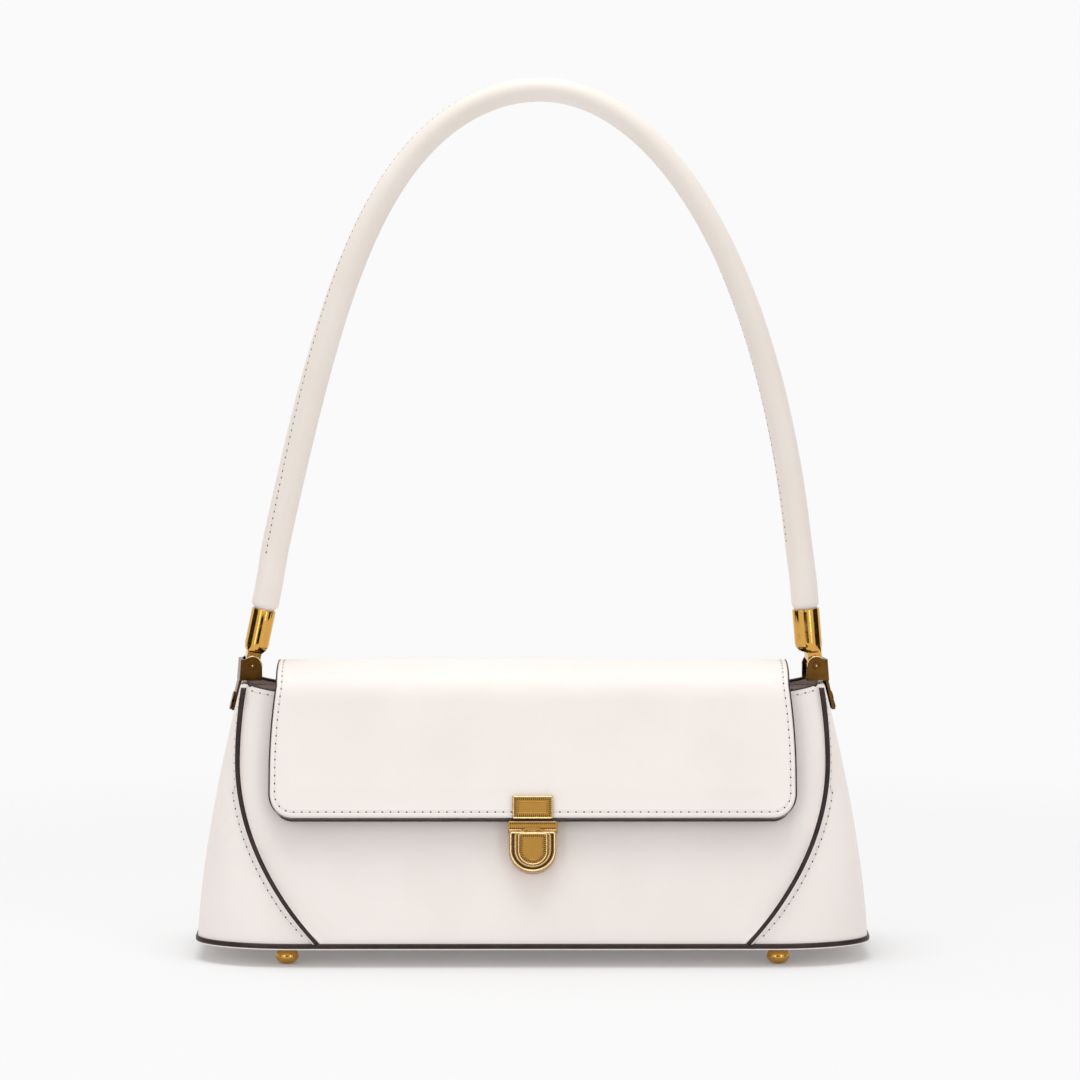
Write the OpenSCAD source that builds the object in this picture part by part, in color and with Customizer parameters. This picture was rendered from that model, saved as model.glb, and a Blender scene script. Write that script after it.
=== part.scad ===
// Structured flap handbag: leather body on four feet, flap with a push lock, zip closure and one rolled handle.
// Millimetres. +Z is up, +Y is the back, the origin is on the floor under the middle of the base.

/* [Body] */
// Length of the base
base_l = 269; // [240:1:300]
// Depth of the base, front to back
base_w = 90; // [80:1:110]
// Height of the body, from the underside of the base to its top corners
body_h = 103; // [95:1:120]
// Length of the body at its top
top_l = 234.4; // [215:0.1:240]
// Depth of the body at its top
top_w = 34; // [32:1:44]
// Reach of the base's rounded corners along the length
base_corner_l = 40; // [25:1:50]
// Reach of the base's rounded corners along the depth
base_corner_w = 24; // [16:1:30]
// Radius of the body's corners at the top
top_corner = 5; // [5:0.1:7]
// Rise of the panels' top edges at the corners
corner_rise = 3.6; // [1:0.1:5]
// Length over which a top edge rises
corner_rise_l = 25; // [8:1:25]

/* [Leather and lining] */
// Thickness of the body leather
leather_t = 1.6; // [1.2:0.1:1.8]
// Thickness of the lining
lining_t = 0.8; // [0.5:0.1:1]
// Space between leather and lining, for the hardware's inner ends
hardware_gap = 2.4; // [2.3:0.1:2.6]
// Thickness of the edge paint
edge_coat = 0.4; // [0.2:0.1:0.6]

/* [Seams] */
// Distance of each seam from the body's end where the seams are widest
seam_wide_in = 6; // [5:0.1:12]
// Distance of each seam from the base's end, at the base
seam_foot_in = 51; // [40:1:60]
// Distance of each seam from the body's top corner, at the top
seam_top_in = 1.7; // [1.5:0.1:4]
// Height above the base's underside where the seams are widest
seam_wide_h = 74; // [55:1:80]
// Height of the turned-out seam allowance
fin_h = 3; // [2:0.1:4]
// Height above the base at which the seam allowance has its full height
fin_full_h = 12; // [6:1:20]
// Thickness of one layer of the seam allowance
fin_t = 1.1; // [0.8:0.1:1.4]
// Lean of the seam allowance towards the middle at the base, in degrees
fin_lean_low = 32; // [0:1:40]
// Lean of the seam allowance towards the middle at the top, in degrees
fin_lean_top = 6; // [0:1:20]

/* [Base] */
// Thickness of the base leather
base_t = 2.4; // [2:0.1:3]
// Distance that the base stands out round the body
base_lip = 0.9; // [0.6:0.1:1.5]
// Thickness of the stiffening board
board_t = 2.2; // [1.5:0.1:3]
// Height of the feet
foot_h = 7; // [5:0.5:10]
// Diameter of the feet
foot_d = 9.4; // [7:0.1:12]
// Distance of each foot from the base's end
foot_in_l = 36.5; // [30:0.5:50]
// Distance of each foot from the base's front or back
foot_in_w = 10; // [9:0.5:14]
// Diameter of the foot studs
stud_d = 3; // [2:0.5:4]
// Diameter of the washers on the foot studs
washer_d = 9; // [8:0.5:12]
// Thickness of the washers on the foot studs
washer_t = 0.6; // [0.4:0.1:1]
// Thickness of the nuts on the foot studs
foot_nut_t = 1.6; // [1.2:0.1:2]

/* [Flap] */
// Distance of the flap's sides from the body's top corners
flap_in = 12; // [11:0.1:20]
// Thickness of the flap, leather and suede together
flap_t = 2.6; // [2:0.1:3]
// Thickness of the flap's leather layer
flap_leather_t = 1.5; // [1:0.1:1.8]
// Radius of the flap's lower corners
flap_corner_r = 9.7; // [5:0.1:20]
// How much each side of the flap draws in towards its top, to pass between the handle's ends
flap_draw_in = 2.4; // [0:0.1:6]
// Share of the front's height over which the sides of the flap draw in
flap_draw_share = 0.81; // [0.4:0.01:1]
// Height of the flap's lower edge above the base's underside
flap_foot_h = 51.6; // [50:0.1:56]
// Distance between flap and front panel at the flap's lower edge
flap_gap_foot = 5; // [4.6:0.1:6]
// Distance between flap and front panel at the front fold
flap_gap_fold = 5; // [4:0.1:7]
// Height of the flap's top above the top corners of the body
flap_rise = 7.8; // [7:0.1:12]
// Height of the flap's tail on the back panel
tail_h = 22; // [15:1:35]

/* [Lock] */
// Height of the lock's middle above the base's underside
lock_h = 40; // [38:0.5:41]
// Width of the lock's frame
lock_w = 18.6; // [16:0.1:22]
// Width of the bar above the frame
bar_w = 19.6; // [18:0.1:24]
// Height of the bar above the frame
bar_h = 4.2; // [3.8:0.1:5]
// Height of the D-shaped part of the frame
frame_h = 16.4; // [15:0.1:18]
// Depth of the lock's frame
lock_t = 7; // [6.8:0.1:8]
// Width of the push button
button_w = 12; // [10:0.1:13]
// Height of the push button
button_h = 13; // [12:0.1:14]
// Travel of the push button
button_travel = 1.2; // [0.8:0.1:1.3]
// Width of the plate on the flap
plate_w = 16.1; // [14:0.1:20]
// Height of the plate on the flap
plate_h = 9.2; // [8:0.1:12]
// Thickness of the plate on the flap
plate_t = 1.5; // [1:0.1:2]
// Width of the tongue
tongue_w = 9; // [7:0.5:10]
// Thickness of the tongue
tongue_t = 1.2; // [0.8:0.1:1.3]
// Depth to which the tongue stands in the bar's slot
tongue_depth = 1.8; // [1:0.1:1.9]

/* [Handle] */
// Height of the top of the handle's middle line above the floor
handle_top = 347.4; // [300:0.1:420]
// Offset of the arch's highest point to the right of the middle
handle_skew = 3; // [0:0.5:8]
// Diameter of the rolled handle
handle_d = 8.6; // [7:0.1:10]
// Diameter of the cord core in the handle
core_d = 6; // [4:0.1:6.2]
// Reach of the stitched lip beyond the rolled handle
lip_h = 2; // [1:0.1:3]
// Lean of the left leg at its foot, in degrees
left_leg_lean = 13; // [4:0.5:20]
// Lean of the right leg at its foot, in degrees
right_leg_lean = 8.5; // [4:0.5:20]

/* [Handle fittings] */
// Distance of each pin from the body's top corners
pin_in = 3.5; // [3:0.1:4.2]
// Height of the pins above the top corners of the body
pin_rise = 6; // [5.9:0.1:8]
// Diameter of the pins
pin_d = 2.8; // [2:0.1:3.2]
// Turn of both brackets about the vertical, in degrees
bracket_twist = 9; // [0:1:9]
// Clear width between the ears of a bracket
fork_gap = 7.6; // [7:0.1:8]
// Thickness of the bracket's sheet metal
bracket_t = 1.2; // [1:0.1:1.3]
// Width of a bracket's plate on the gusset
web_w = 7; // [6:0.5:7.5]
// Radius of the ears' rounded tops
ear_r = 3.9; // [3.6:0.1:4]
// Distance between pin and plate
web_gap = 3.4; // [3.3:0.1:3.8]
// Height of a ferrule's mouth above its pin
mouth_h = 23; // [20:0.5:30]
// Height of a ferrule's shoulder above its pin
shoulder_h = 8; // [7.5:0.5:10]
// Long diameter of the oval ferrule
ferrule_d = 10.7; // [10.4:0.1:12]
// Short diameter of the oval ferrule
ferrule_short_d = 9.4; // [9.2:0.1:10.4]
// Wall of the ferrule
ferrule_wall = 0.8; // [0.6:0.1:1]
// Lean of the left ferrule, in degrees
left_lean = 12; // [3:0.5:15]
// Lean of the right ferrule, in degrees
right_lean = 5; // [3:0.5:15]
// Offset of the left ferrule's barrel from its pin
left_offset = 0.5; // [0:0.1:2]
// Offset of the right ferrule's barrel from its pin
right_offset = 1.5; // [0:0.1:2]
// Height of the bend in the leather above a ferrule's mouth
bend_h = 6.5; // [6:0.1:10]
// Length of the bend in the leather above its middle
bend_gap = 3.4; // [3.2:0.1:5]
// Diameter of the rivets in the brackets
rivet_d = 2.4; // [2:0.1:2.6]

/* [Zip] */
// Distance of the zip's left end from the body's top corner
zip_left_in = 25.2; // [23.2:0.2:37]
// Distance of the right end of the zip's folding part from the body's top corner
zip_right_in = 21.2; // [20.2:0.2:37]
// Distance between the two lines on which the zip's halves fold
zip_fold_w = 26; // [24:0.1:26.4]
// Thickness of the zip tape
tape_t = 0.8; // [0.6:0.1:1]
// Depth of the zip tape below the panels' top edges
zip_drop = 0.6; // [0.5:0.1:1.5]
// Distance between one tooth and the next on one side
tooth_pitch = 3; // [2:0.1:4]
// Height of the coil
coil_h = 2; // [1.8:0.1:2.2]
// Half width of the closed coil
coil_half_w = 2.6; // [2.2:0.1:3]
// Length of the slider
slider_l = 10; // [8:0.5:10]
// Width of the slider
slider_w = 9; // [8:0.5:10]
// Length of the zip's pull
pull_l = 15; // [10:0.5:16]

/* [Hidden] */
$fn = 48;

// How the end wall leans in, from the base to the top
flare_power = 1.5;
// How the front and the back lean in, from the base to the top
depth_power = 1.15;
// Length by which a cut runs past what it cuts
overrun = 1;
// Gap between pieces of one body that lie against each other
seat_gap = 0.05;
// Gap between pieces that move past each other
run_gap = 0.3;
// Radial clearance of a pin in its bore
pin_clearance = 0.05;
// Smallest share of a corner's reach that is left on an inner layer
least_corner_share = 0.1;

// Half length of the body at a height above the base's underside, inside the leather by inset
function end_x(h, inset = 0) = base_l/2 - (base_l - top_l)/2*pow(max(0, h)/body_h, flare_power) - inset;
// Half depth of the body at a height
function side_y(h, inset = 0) = base_w/2 - (base_w - top_w)/2*pow(max(0, h)/body_h, depth_power) - inset;
// Slope of the front panel at a height
function side_slope(h) = (base_w - top_w)/2*depth_power/body_h*pow(h/body_h, depth_power - 1);
// Reach of a corner along the length and along the depth
function corner_x(h, inset = 0) =
    let(reach = base_corner_l + (top_corner - base_corner_l)*h/body_h)
    max(reach - inset, reach*least_corner_share);
function corner_y(h, inset = 0) =
    let(reach = base_corner_w + (top_corner - base_corner_w)*h/body_h)
    max(reach - inset, reach*least_corner_share);
// Middle of a corner's ellipse
function corner_mid_x(h) = end_x(h) - corner_x(h);
function corner_mid_y(h) = side_y(h) - corner_y(h);
// Point of the body's outline at a height; turn is 0 on the end wall, 90 where the straight front starts
function outline_point(h, turn, inset = 0) = turn <= 90
    ? [corner_mid_x(h) + corner_x(h, inset)*cos(turn), -corner_mid_y(h) - corner_y(h, inset)*sin(turn)]
    : [corner_mid_x(h) - (turn - 90)*PI/180*corner_x(h, inset), -corner_mid_y(h) - corner_y(h, inset)];
// Turn at which the outline reaches a place along the length
function turn_at(h, x, inset = 0) = x > corner_mid_x(h)
    ? acos(min(1, (x - corner_mid_x(h))/corner_x(h, inset)))
    : 90 + (corner_mid_x(h) - x)/corner_x(h, inset)*180/PI;
// Place of the front surface along the depth
function front_y(h, x, inset = 0) = outline_point(h, turn_at(h, abs(x), inset), inset)[1];
// Whole outline at a height, counter-clockwise
function quarter(h, inset, steps) = [for (i = [0:steps]) outline_point(h, 90*i/steps, inset)];
function outline(h, inset = 0, steps = 10) = concat(
    [for (p = quarter(h, inset, steps)) [p[0], -p[1]]],
    [for (i = [steps:-1:0]) let(p = quarter(h, inset, steps)[i]) [-p[0], -p[1]]],
    [for (p = quarter(h, inset, steps)) [-p[0], p[1]]],
    [for (i = [steps:-1:0]) quarter(h, inset, steps)[i]]);

// Half distance between the tips of the two front seams
seam_wide_x = end_x(seam_wide_h) - seam_wide_in;
seam_foot_x = base_l/2 - seam_foot_in;
seam_top_x = top_l/2 - seam_top_in;
function seam_x(h) = h < seam_wide_h
    ? seam_wide_x - (seam_wide_x - seam_foot_x)*pow(1 - h/seam_wide_h, 2)
    : seam_wide_x - (seam_wide_x - seam_top_x)*pow((h - seam_wide_h)/(body_h - seam_wide_h), 2);
// Widening of a layer that is measured level across the slanting seam
function seam_widen(h) = let(slope = seam_x(h + overrun) - seam_x(h)) norm([overrun, slope])/overrun;
function fin_lean(h) = fin_lean_low + (fin_lean_top - fin_lean_low)*h/body_h;
// Height of the seam allowance, which fades into the lip of the base
function fin_reach(h) = base_lip + (fin_h - base_lip)*min(1, max(0, h - base_t)/fin_full_h);
// Half distance between the roots of the seam allowances
function root_x(h) = seam_x(h) + fin_reach(h)*sin(fin_lean(h));
function fin_tip_y(h) = front_y(h, root_x(h)) - fin_reach(h)*cos(fin_lean(h));
function layer(h) = fin_t*seam_widen(h);

// Height of the panels' top edges above the base's underside
edge_h = body_h - corner_rise;
function rise_share(x) = max(0, min(1, (abs(x) - top_l/2 + corner_rise_l)/(corner_rise_l - top_corner/2)));
function panel_top(x) = edge_h + corner_rise*pow(rise_share(x), 2);
// Height of the gussets' top edges
gusset_top_h = body_h - top_corner/4;

// Top of the zip tape, and the top of the lining under it
tape_top_h = edge_h - zip_drop;
lining_top_h = tape_top_h - tape_t - seat_gap;
lining_inset = leather_t + hardware_gap;
lining_floor_h = base_t + board_t + washer_t + foot_nut_t + seat_gap;

// Solid between an outer and an inner grid of points, rows going up and columns to the right as seen from outside
module shell(outer, inner) {
    rows = len(outer);
    cols = len(outer[0]);
    count = rows*cols;
    function at(r, c) = r*cols + c;
    polyhedron(
        points = concat([for (row = outer) each row], [for (row = inner) each row]),
        faces = concat(
            [for (r = [0:rows - 2], c = [0:cols - 2], half = [0, 1])
                half == 0 ? [at(r, c), at(r + 1, c), at(r + 1, c + 1)]
                    : [at(r, c), at(r + 1, c + 1), at(r, c + 1)]],
            [for (r = [0:rows - 2], c = [0:cols - 2], half = [0, 1])
                half == 0 ? [count + at(r, c), count + at(r, c + 1), count + at(r + 1, c + 1)]
                    : [count + at(r, c), count + at(r + 1, c + 1), count + at(r + 1, c)]],
            [for (c = [0:cols - 2], half = [0, 1])
                half == 0 ? [at(0, c), at(0, c + 1), count + at(0, c + 1)]
                    : [at(0, c), count + at(0, c + 1), count + at(0, c)]],
            [for (c = [0:cols - 2], half = [0, 1]) let(r = rows - 1)
                half == 0 ? [at(r, c + 1), at(r, c), count + at(r, c)]
                    : [at(r, c + 1), count + at(r, c), count + at(r, c + 1)]],
            [for (r = [0:rows - 2], half = [0, 1])
                half == 0 ? [at(r + 1, 0), at(r, 0), count + at(r, 0)]
                    : [at(r + 1, 0), count + at(r, 0), count + at(r + 1, 0)]],
            [for (r = [0:rows - 2], half = [0, 1]) let(c = cols - 1)
                half == 0 ? [at(r, c), at(r + 1, c), count + at(r + 1, c)]
                    : [at(r, c), count + at(r + 1, c), count + at(r, c)]]));
}

// Solid tube through rings of points, each ring clockwise as seen from the first ring's end
module tube(rings) {
    rows = len(rings);
    sides = len(rings[0]);
    function at(r, s) = r*sides + s%sides;
    polyhedron(
        points = [for (ring = rings) each ring],
        faces = concat(
            [for (r = [0:rows - 2], s = [0:sides - 1], half = [0, 1])
                half == 0 ? [at(r, s), at(r + 1, s), at(r + 1, s + 1)]
                    : [at(r, s), at(r + 1, s + 1), at(r, s + 1)]],
            [for (s = [1:sides - 2]) [at(0, 0), at(0, s), at(0, s + 1)]],
            [for (s = [1:sides - 2]) [at(rows - 1, 0), at(rows - 1, s + 1), at(rows - 1, s)]]));
}

// Hollow tube through outer and inner rings
module hollow_tube(outer, inner) {
    rows = len(outer);
    sides = len(outer[0]);
    count = rows*sides;
    function at(r, s) = r*sides + s%sides;
    polyhedron(
        points = concat([for (ring = outer) each ring], [for (ring = inner) each ring]),
        faces = concat(
            [for (r = [0:rows - 2], s = [0:sides - 1], half = [0, 1])
                half == 0 ? [at(r, s), at(r + 1, s), at(r + 1, s + 1)]
                    : [at(r, s), at(r + 1, s + 1), at(r, s + 1)]],
            [for (r = [0:rows - 2], s = [0:sides - 1], half = [0, 1])
                half == 0 ? [count + at(r, s), count + at(r, s + 1), count + at(r + 1, s + 1)]
                    : [count + at(r, s), count + at(r + 1, s + 1), count + at(r + 1, s)]],
            [for (s = [0:sides - 1], half = [0, 1])
                half == 0 ? [at(0, s), at(0, s + 1), count + at(0, s + 1)]
                    : [at(0, s), count + at(0, s + 1), count + at(0, s)]],
            [for (s = [0:sides - 1], half = [0, 1]) let(r = rows - 1)
                half == 0 ? [at(r, s + 1), at(r, s), count + at(r, s)]
                    : [at(r, s + 1), count + at(r, s), count + at(r, s + 1)]]));
}

// Front panel and back panel

// Shares of the panel's half width at which its columns stand
column_shares = [0, 0.3, 0.55, 0.75, 0.88, 0.92, 0.95, 0.98, 1];
// The panels have the gussets' rows, so that the two meet, and one more up to the corners' tops
gusset_rows = 18;
panel_rows = gusset_rows + 1;

function columns() = concat([for (i = [len(column_shares) - 1:-1:1]) -column_shares[i]], column_shares);
// Height of a row at the seam, and how far the panel's top drops below its corners at a share of its half width
function row_h(r) = r > gusset_rows ? body_h : base_t + (gusset_top_h - base_t)*r/gusset_rows;
function panel_edge_x(h) = root_x(h) - layer(h);
function top_drop(share) = body_h - panel_top(share*panel_edge_x(body_h));
function panel_point(r, share, inset) =
    let(level = row_h(r), h = level - top_drop(share)*(level - base_t)/(body_h - base_t),
        x = share*(panel_edge_x(level) + (inset > 0 && abs(share) == 1 ? layer(level) : 0)))
    [x, front_y(h, x, inset), foot_h + h];
function panel_tip(r, side, shift) =
    let(h = row_h(r))
    [side*(seam_x(h) - shift*layer(h)), fin_tip_y(h), foot_h + h];

module panel_leather() {
    outer = [for (r = [0:panel_rows]) concat([panel_tip(r, -1, 1)],
        [for (s = columns()) panel_point(r, s, 0)], [panel_tip(r, 1, 1)])];
    inner = [for (r = [0:panel_rows]) concat([panel_tip(r, -1, 0)],
        [for (s = columns()) panel_point(r, s, leather_t)], [panel_tip(r, 1, 0)])];
    shell(outer, inner);
}

module front_panel() {
    color("linen") difference() {
        panel_leather();
        lock_stud_holes();
    }
}

module back_panel() {
    color("linen") mirror([0, 1, 0]) panel_leather();
}

// Gussets

gusset_turns = 9;

function gusset_round(h, shift, inset) =
    let(start = turn_at(h, root_x(h) + shift, inset))
    [for (i = [0:gusset_turns]) outline_point(h, start*(1 - i/gusset_turns), inset)];
function gusset_half(r, inset) =
    let(h = row_h(r), shift = inset > 0 ? seat_gap : layer(h), tip = [seam_x(h) + shift, fin_tip_y(h)])
    [for (p = concat([tip], gusset_round(h, shift, inset))) [p[0], p[1], foot_h + h]];
function mirrored(points) = [for (i = [len(points) - 1:-1:0]) [points[i][0], -points[i][1], points[i][2]]];
function gusset_row(r, inset) = let(half = gusset_half(r, inset)) concat(half, mirrored(half));

module gusset() {
    color("linen") difference() {
        shell([for (r = [0:gusset_rows]) gusset_row(r, 0)],
            [for (r = [0:gusset_rows]) gusset_row(r, leather_t)]);
        bracket_place() rivet_places() bore(rivet_d/2 + seat_gap, rivet_l);
    }
}

module right_gusset() {
    gusset();
}

module left_gusset() {
    color("linen") difference() {
        mirror([1, 0, 0]) shell([for (r = [0:gusset_rows]) gusset_row(r, 0)],
            [for (r = [0:gusset_rows]) gusset_row(r, leather_t)]);
        left_bracket_place() rivet_places() bore(rivet_d/2 + seat_gap, rivet_l);
    }
}

// Painted edges of the body

// Share of the seam edge's width that its outer face keeps
edge_face_share = 0.6;

module seam_edge() {
    tube([for (r = [0:gusset_rows])
        let(h = row_h(r), w = layer(h), lean = fin_lean(h),
            x = seam_x(h), y = fin_tip_y(h), z = foot_h + h,
            out_x = x - edge_coat*sin(lean), out_y = y - edge_coat*cos(lean))
        [[x - w, y, z], [out_x - w*edge_face_share, out_y, z],
            [out_x + w*edge_face_share, out_y, z], [x + w, y, z]]]);
}

module front_seam_edges() {
    color("#33261f") {
        seam_edge();
        mirror([1, 0, 0]) seam_edge();
    }
}

module back_seam_edges() {
    color("#33261f") mirror([0, 1, 0]) {
        seam_edge();
        mirror([1, 0, 0]) seam_edge();
    }
}

module top_edge() {
    reach = panel_edge_x(body_h);
    tube([for (share = columns())
        let(x = share*reach, h = panel_top(x), top = h + edge_coat)
        [[x, front_y(h, x), foot_h + h], [x, front_y(top, x), foot_h + top],
            [x, front_y(top, x, leather_t), foot_h + top], [x, front_y(h, x, leather_t), foot_h + h]]]);
}

module front_top_edge() {
    color("#33261f") top_edge();
}

module back_top_edge() {
    color("#33261f") mirror([0, 1, 0]) top_edge();
}

// Base

module at_feet() {
    for (x = [-1, 1], y = [-1, 1])
        translate([x*(base_l/2 - foot_in_l), y*(base_w/2 - foot_in_w), 0]) children();
}

module stud_holes() {
    at_feet() translate([0, 0, foot_h - overrun])
        cylinder(r = stud_d/2 + seat_gap, h = base_t + board_t + 2*overrun);
}

module base_panel() {
    color("linen") difference() {
        translate([0, 0, foot_h]) linear_extrude(base_t) polygon(outline(0, edge_coat - base_lip));
        stud_holes();
    }
}

module base_edge() {
    color("#33261f") translate([0, 0, foot_h]) linear_extrude(base_t) difference() {
        polygon(outline(0, -base_lip));
        polygon(outline(0, edge_coat - base_lip));
    }
}

module base_board() {
    color("burlywood") difference() {
        translate([0, 0, foot_h + base_t]) linear_extrude(board_t)
            polygon(outline(base_t + board_t, leather_t + seat_gap));
        stud_holes();
    }
}

// Shares of the foot's radius and height that shape its dome
foot_neck_share = 0.66;
foot_neck_h_share = 0.14;
foot_flat_share = 0.36;
foot_steps = 12;

module foot() {
    r = foot_d/2;
    neck = foot_h*foot_neck_h_share;
    dome = foot_h - neck;
    flat = asin(foot_flat_share);
    shut = 180 - asin(foot_neck_share);
    rotate_extrude() polygon(concat([[0, 0]],
        [for (i = [0:foot_steps]) let(a = flat + (shut - flat)*i/foot_steps)
            [r*sin(a), dome*(cos(flat) - cos(a))/(cos(flat) - cos(shut))]],
        [[r*foot_neck_share, dome], [r*foot_neck_share, foot_h], [0, foot_h]]));
    translate([0, 0, foot_h]) cylinder(r = stud_d/2, h = base_t + board_t + washer_t + foot_nut_t);
}

module feet() {
    color("goldenrod") at_feet() foot();
}

module foot_washers() {
    color("silver") at_feet() translate([0, 0, foot_h + base_t + board_t]) difference() {
        cylinder(r = washer_d/2, h = washer_t);
        translate([0, 0, -overrun]) cylinder(r = stud_d/2 + seat_gap, h = washer_t + 2*overrun);
    }
}

// Width of a nut across its corners, as a multiple of its stud
nut_size_share = 2.1;

module foot_nuts() {
    color("silver") at_feet() translate([0, 0, foot_h + base_t + board_t + washer_t]) difference() {
        cylinder(r = stud_d*nut_size_share/2, h = foot_nut_t, $fn = 6);
        translate([0, 0, -overrun]) cylinder(r = stud_d/2 + seat_gap, h = foot_nut_t + 2*overrun);
    }
}

// Lining

lining_rows = 8;
lining_steps = 6;

function lining_ring(h, inset, z) = [for (p = outline(h, inset, lining_steps)) [p[0], p[1], z]];

module lining() {
    color("#4a3528") difference() {
        tube([for (r = [0:lining_rows])
            let(h = lining_floor_h + (lining_top_h - lining_floor_h)*r/lining_rows)
            lining_ring(h, lining_inset, foot_h + h)]);
        tube([for (r = [0:lining_rows])
            let(h = lining_floor_h + lining_t + (lining_top_h - lining_floor_h - lining_t)*r/lining_rows)
            lining_ring(h, lining_inset + lining_t, foot_h + h + (r == lining_rows ? overrun : 0))]);
    }
}

function reversed(list) = [for (i = [len(list) - 1:-1:0]) list[i]];

// Flap

flap_l = top_l - 2*flap_in;
// Hinge line of the flap, on the middle of its leather above the tail
hinge_y = side_y(body_h) + seat_gap + flap_t/2;
hinge_h = body_h - top_corner/4;
flap_top_h = body_h + flap_rise - flap_t/2;
// Drop of the front fold's lower end, as a multiple of the top corners' radius
fold_drop_share = 1.2;
fold_h = body_h - top_corner*fold_drop_share;
fold_y = -side_y(fold_h) - flap_gap_fold - flap_t/2;
foot_y = -side_y(flap_foot_h) - flap_gap_foot - flap_t/2;
// Share of the fold's reach at which the flap's top is flat
crown_share = 0.5;
fold_steps = 9;

function bezier(a, b, c, d, t) =
    pow(1 - t, 3)*a + 3*t*pow(1 - t, 2)*b + 3*t*t*(1 - t)*c + pow(t, 3)*d;

flap_slope = (fold_y - foot_y)/(fold_h - flap_foot_h);
fold_rise = flap_top_h - flap_t/2 - fold_h;
flap_middle = concat(
    [for (i = [0:fold_steps]) bezier([hinge_y, hinge_h], [hinge_y, flap_top_h - flap_t],
        [hinge_y*crown_share, flap_top_h], [0, flap_top_h], i/fold_steps)],
    [for (i = [1:fold_steps]) bezier([0, flap_top_h], [fold_y*crown_share, flap_top_h],
        [fold_y + flap_slope*fold_rise, fold_h + fold_rise], [fold_y, fold_h], i/fold_steps)],
    [[foot_y, flap_foot_h]]);

// Unit normal of the flap's middle line, pointing out of the bag
function flap_normal(i) =
    let(n = len(flap_middle), a = flap_middle[max(0, i - 1)], b = flap_middle[min(n - 1, i + 1)],
        d = (b - a)/norm(b - a))
    [d[1], -d[0]];
function flap_line(offset) = [for (i = [0:len(flap_middle) - 1]) flap_middle[i] + offset*flap_normal(i)];

// Layer of the flap between two offsets from its middle line, all along its width
module flap_layer(from, to) {
    translate([-base_l/2, 0, foot_h]) rotate([90, 0, 90]) linear_extrude(base_l)
        polygon(concat(flap_line(from), reversed(flap_line(to))));
}

// Height where the sides of the flap are drawn in fully
flap_draw_top = (fold_h + flap_top_h)/2;
flap_draw_h = flap_draw_share*(flap_draw_top - flap_foot_h - flap_corner_r);
flap_top_l = flap_l - 2*flap_draw_in;
draw_steps = 6;
function flap_half(h) =
    flap_l/2 - flap_draw_in*pow(max(0, min(1, 1 + (h - flap_draw_top)/flap_draw_h)), 2);

// Outline of the flap as seen from the front, smaller by inset at its sides and its foot
module flap_outline(inset) {
    half = flap_l/2 - inset;
    foot = foot_h + flap_foot_h + inset;
    r = flap_corner_r - inset;
    side_heights = concat([flap_foot_h + inset + r],
        [for (i = [0:draw_steps]) flap_draw_top - flap_draw_h*(1 - i/draw_steps)], [2*body_h]);
    translate([0, base_w, 0]) rotate([90, 0, 0]) linear_extrude(2*base_w) {
        polygon(concat([for (h = side_heights) [flap_half(h) - inset, foot_h + h]],
            [for (h = reversed(side_heights)) [inset - flap_half(h), foot_h + h]]));
        translate([-half + r, foot]) square([2*(half - r), body_h]);
        for (side = [-1, 1]) translate([side*(half - r), foot + r]) circle(r);
    }
}

// Roll of the flap's leather round its hinge line
module flap_roll(length) {
    translate([-length/2, hinge_y, foot_h + hinge_h]) rotate([0, 90, 0])
        cylinder(r = flap_t/2 - seat_gap, h = length);
}

module flap_leather() {
    color("linen") difference() {
        union() {
            intersection() {
                flap_layer(flap_t/2 - flap_leather_t, flap_t/2);
                flap_outline(edge_coat);
            }
            flap_roll(flap_top_l - 2*edge_coat);
        }
        flap_rivet_holes();
    }
}

module flap_lining() {
    color("#4a3528") difference() {
        intersection() {
            flap_layer(-flap_t/2, flap_t/2 - flap_leather_t);
            flap_outline(edge_coat);
        }
        flap_roll(flap_l);
        flap_rivet_holes();
    }
}

module flap_edge() {
    color("#33261f") difference() {
        intersection() {
            flap_layer(-flap_t/2, flap_t/2);
            flap_outline(0);
        }
        flap_outline(edge_coat);
    }
}

module flap_tail() {
    top = hinge_h - flap_t/2 - seat_gap;
    color("linen") translate([-flap_top_l/2, 0, 0]) rotate([90, 0, 90]) linear_extrude(flap_top_l)
        polygon([for (p = concat(
            [for (i = [0:fold_steps]) let(h = top - tail_h*i/fold_steps) [side_y(h) + seat_gap, h]],
            [for (i = [fold_steps:-1:0]) let(h = top - tail_h*i/fold_steps)
                [side_y(h) + seat_gap + flap_leather_t, h]]))
            [p[0], foot_h + p[1]]]);
}

// Lock, in a frame that lies on the front panel: X along the length, Y into the bag, Z up the panel

lock_lean = atan(side_slope(lock_h));
module on_lock() {
    translate([0, -side_y(lock_h), foot_h + lock_h]) rotate([-lock_lean, 0, 0]) children();
}
// Plate between two depths in front of the panel, or behind it where they are negative
module plate(from, to) {
    translate([0, -from, 0]) rotate([90, 0, 0]) linear_extrude(to - from) children();
}

// Places up the panel, from the lock's middle
frame_top = frame_h/3;
frame_foot = frame_top - frame_h;
bar_top = frame_top + bar_h;
button_top = frame_top - (lock_w - button_w)/10;
// Depths in front of the panel
back_wall = 1.2;
front_wall = 1;
button_back = 3.2;
button_proud = 0.3;
flange_t = 1;
flange_w = 0.8;
button_gap = 0.15;
// Share of half a width that the round feet of frame and button take
round_share = 0.96;
slot_w = tongue_w + 2*front_wall;
stud_x = 7.6;
lock_stud_r = 0.9;
lock_stud_head_r = 1.9;
lock_stud_head_t = 0.3;
lock_stud_z = frame_top - lock_stud_r;
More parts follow.
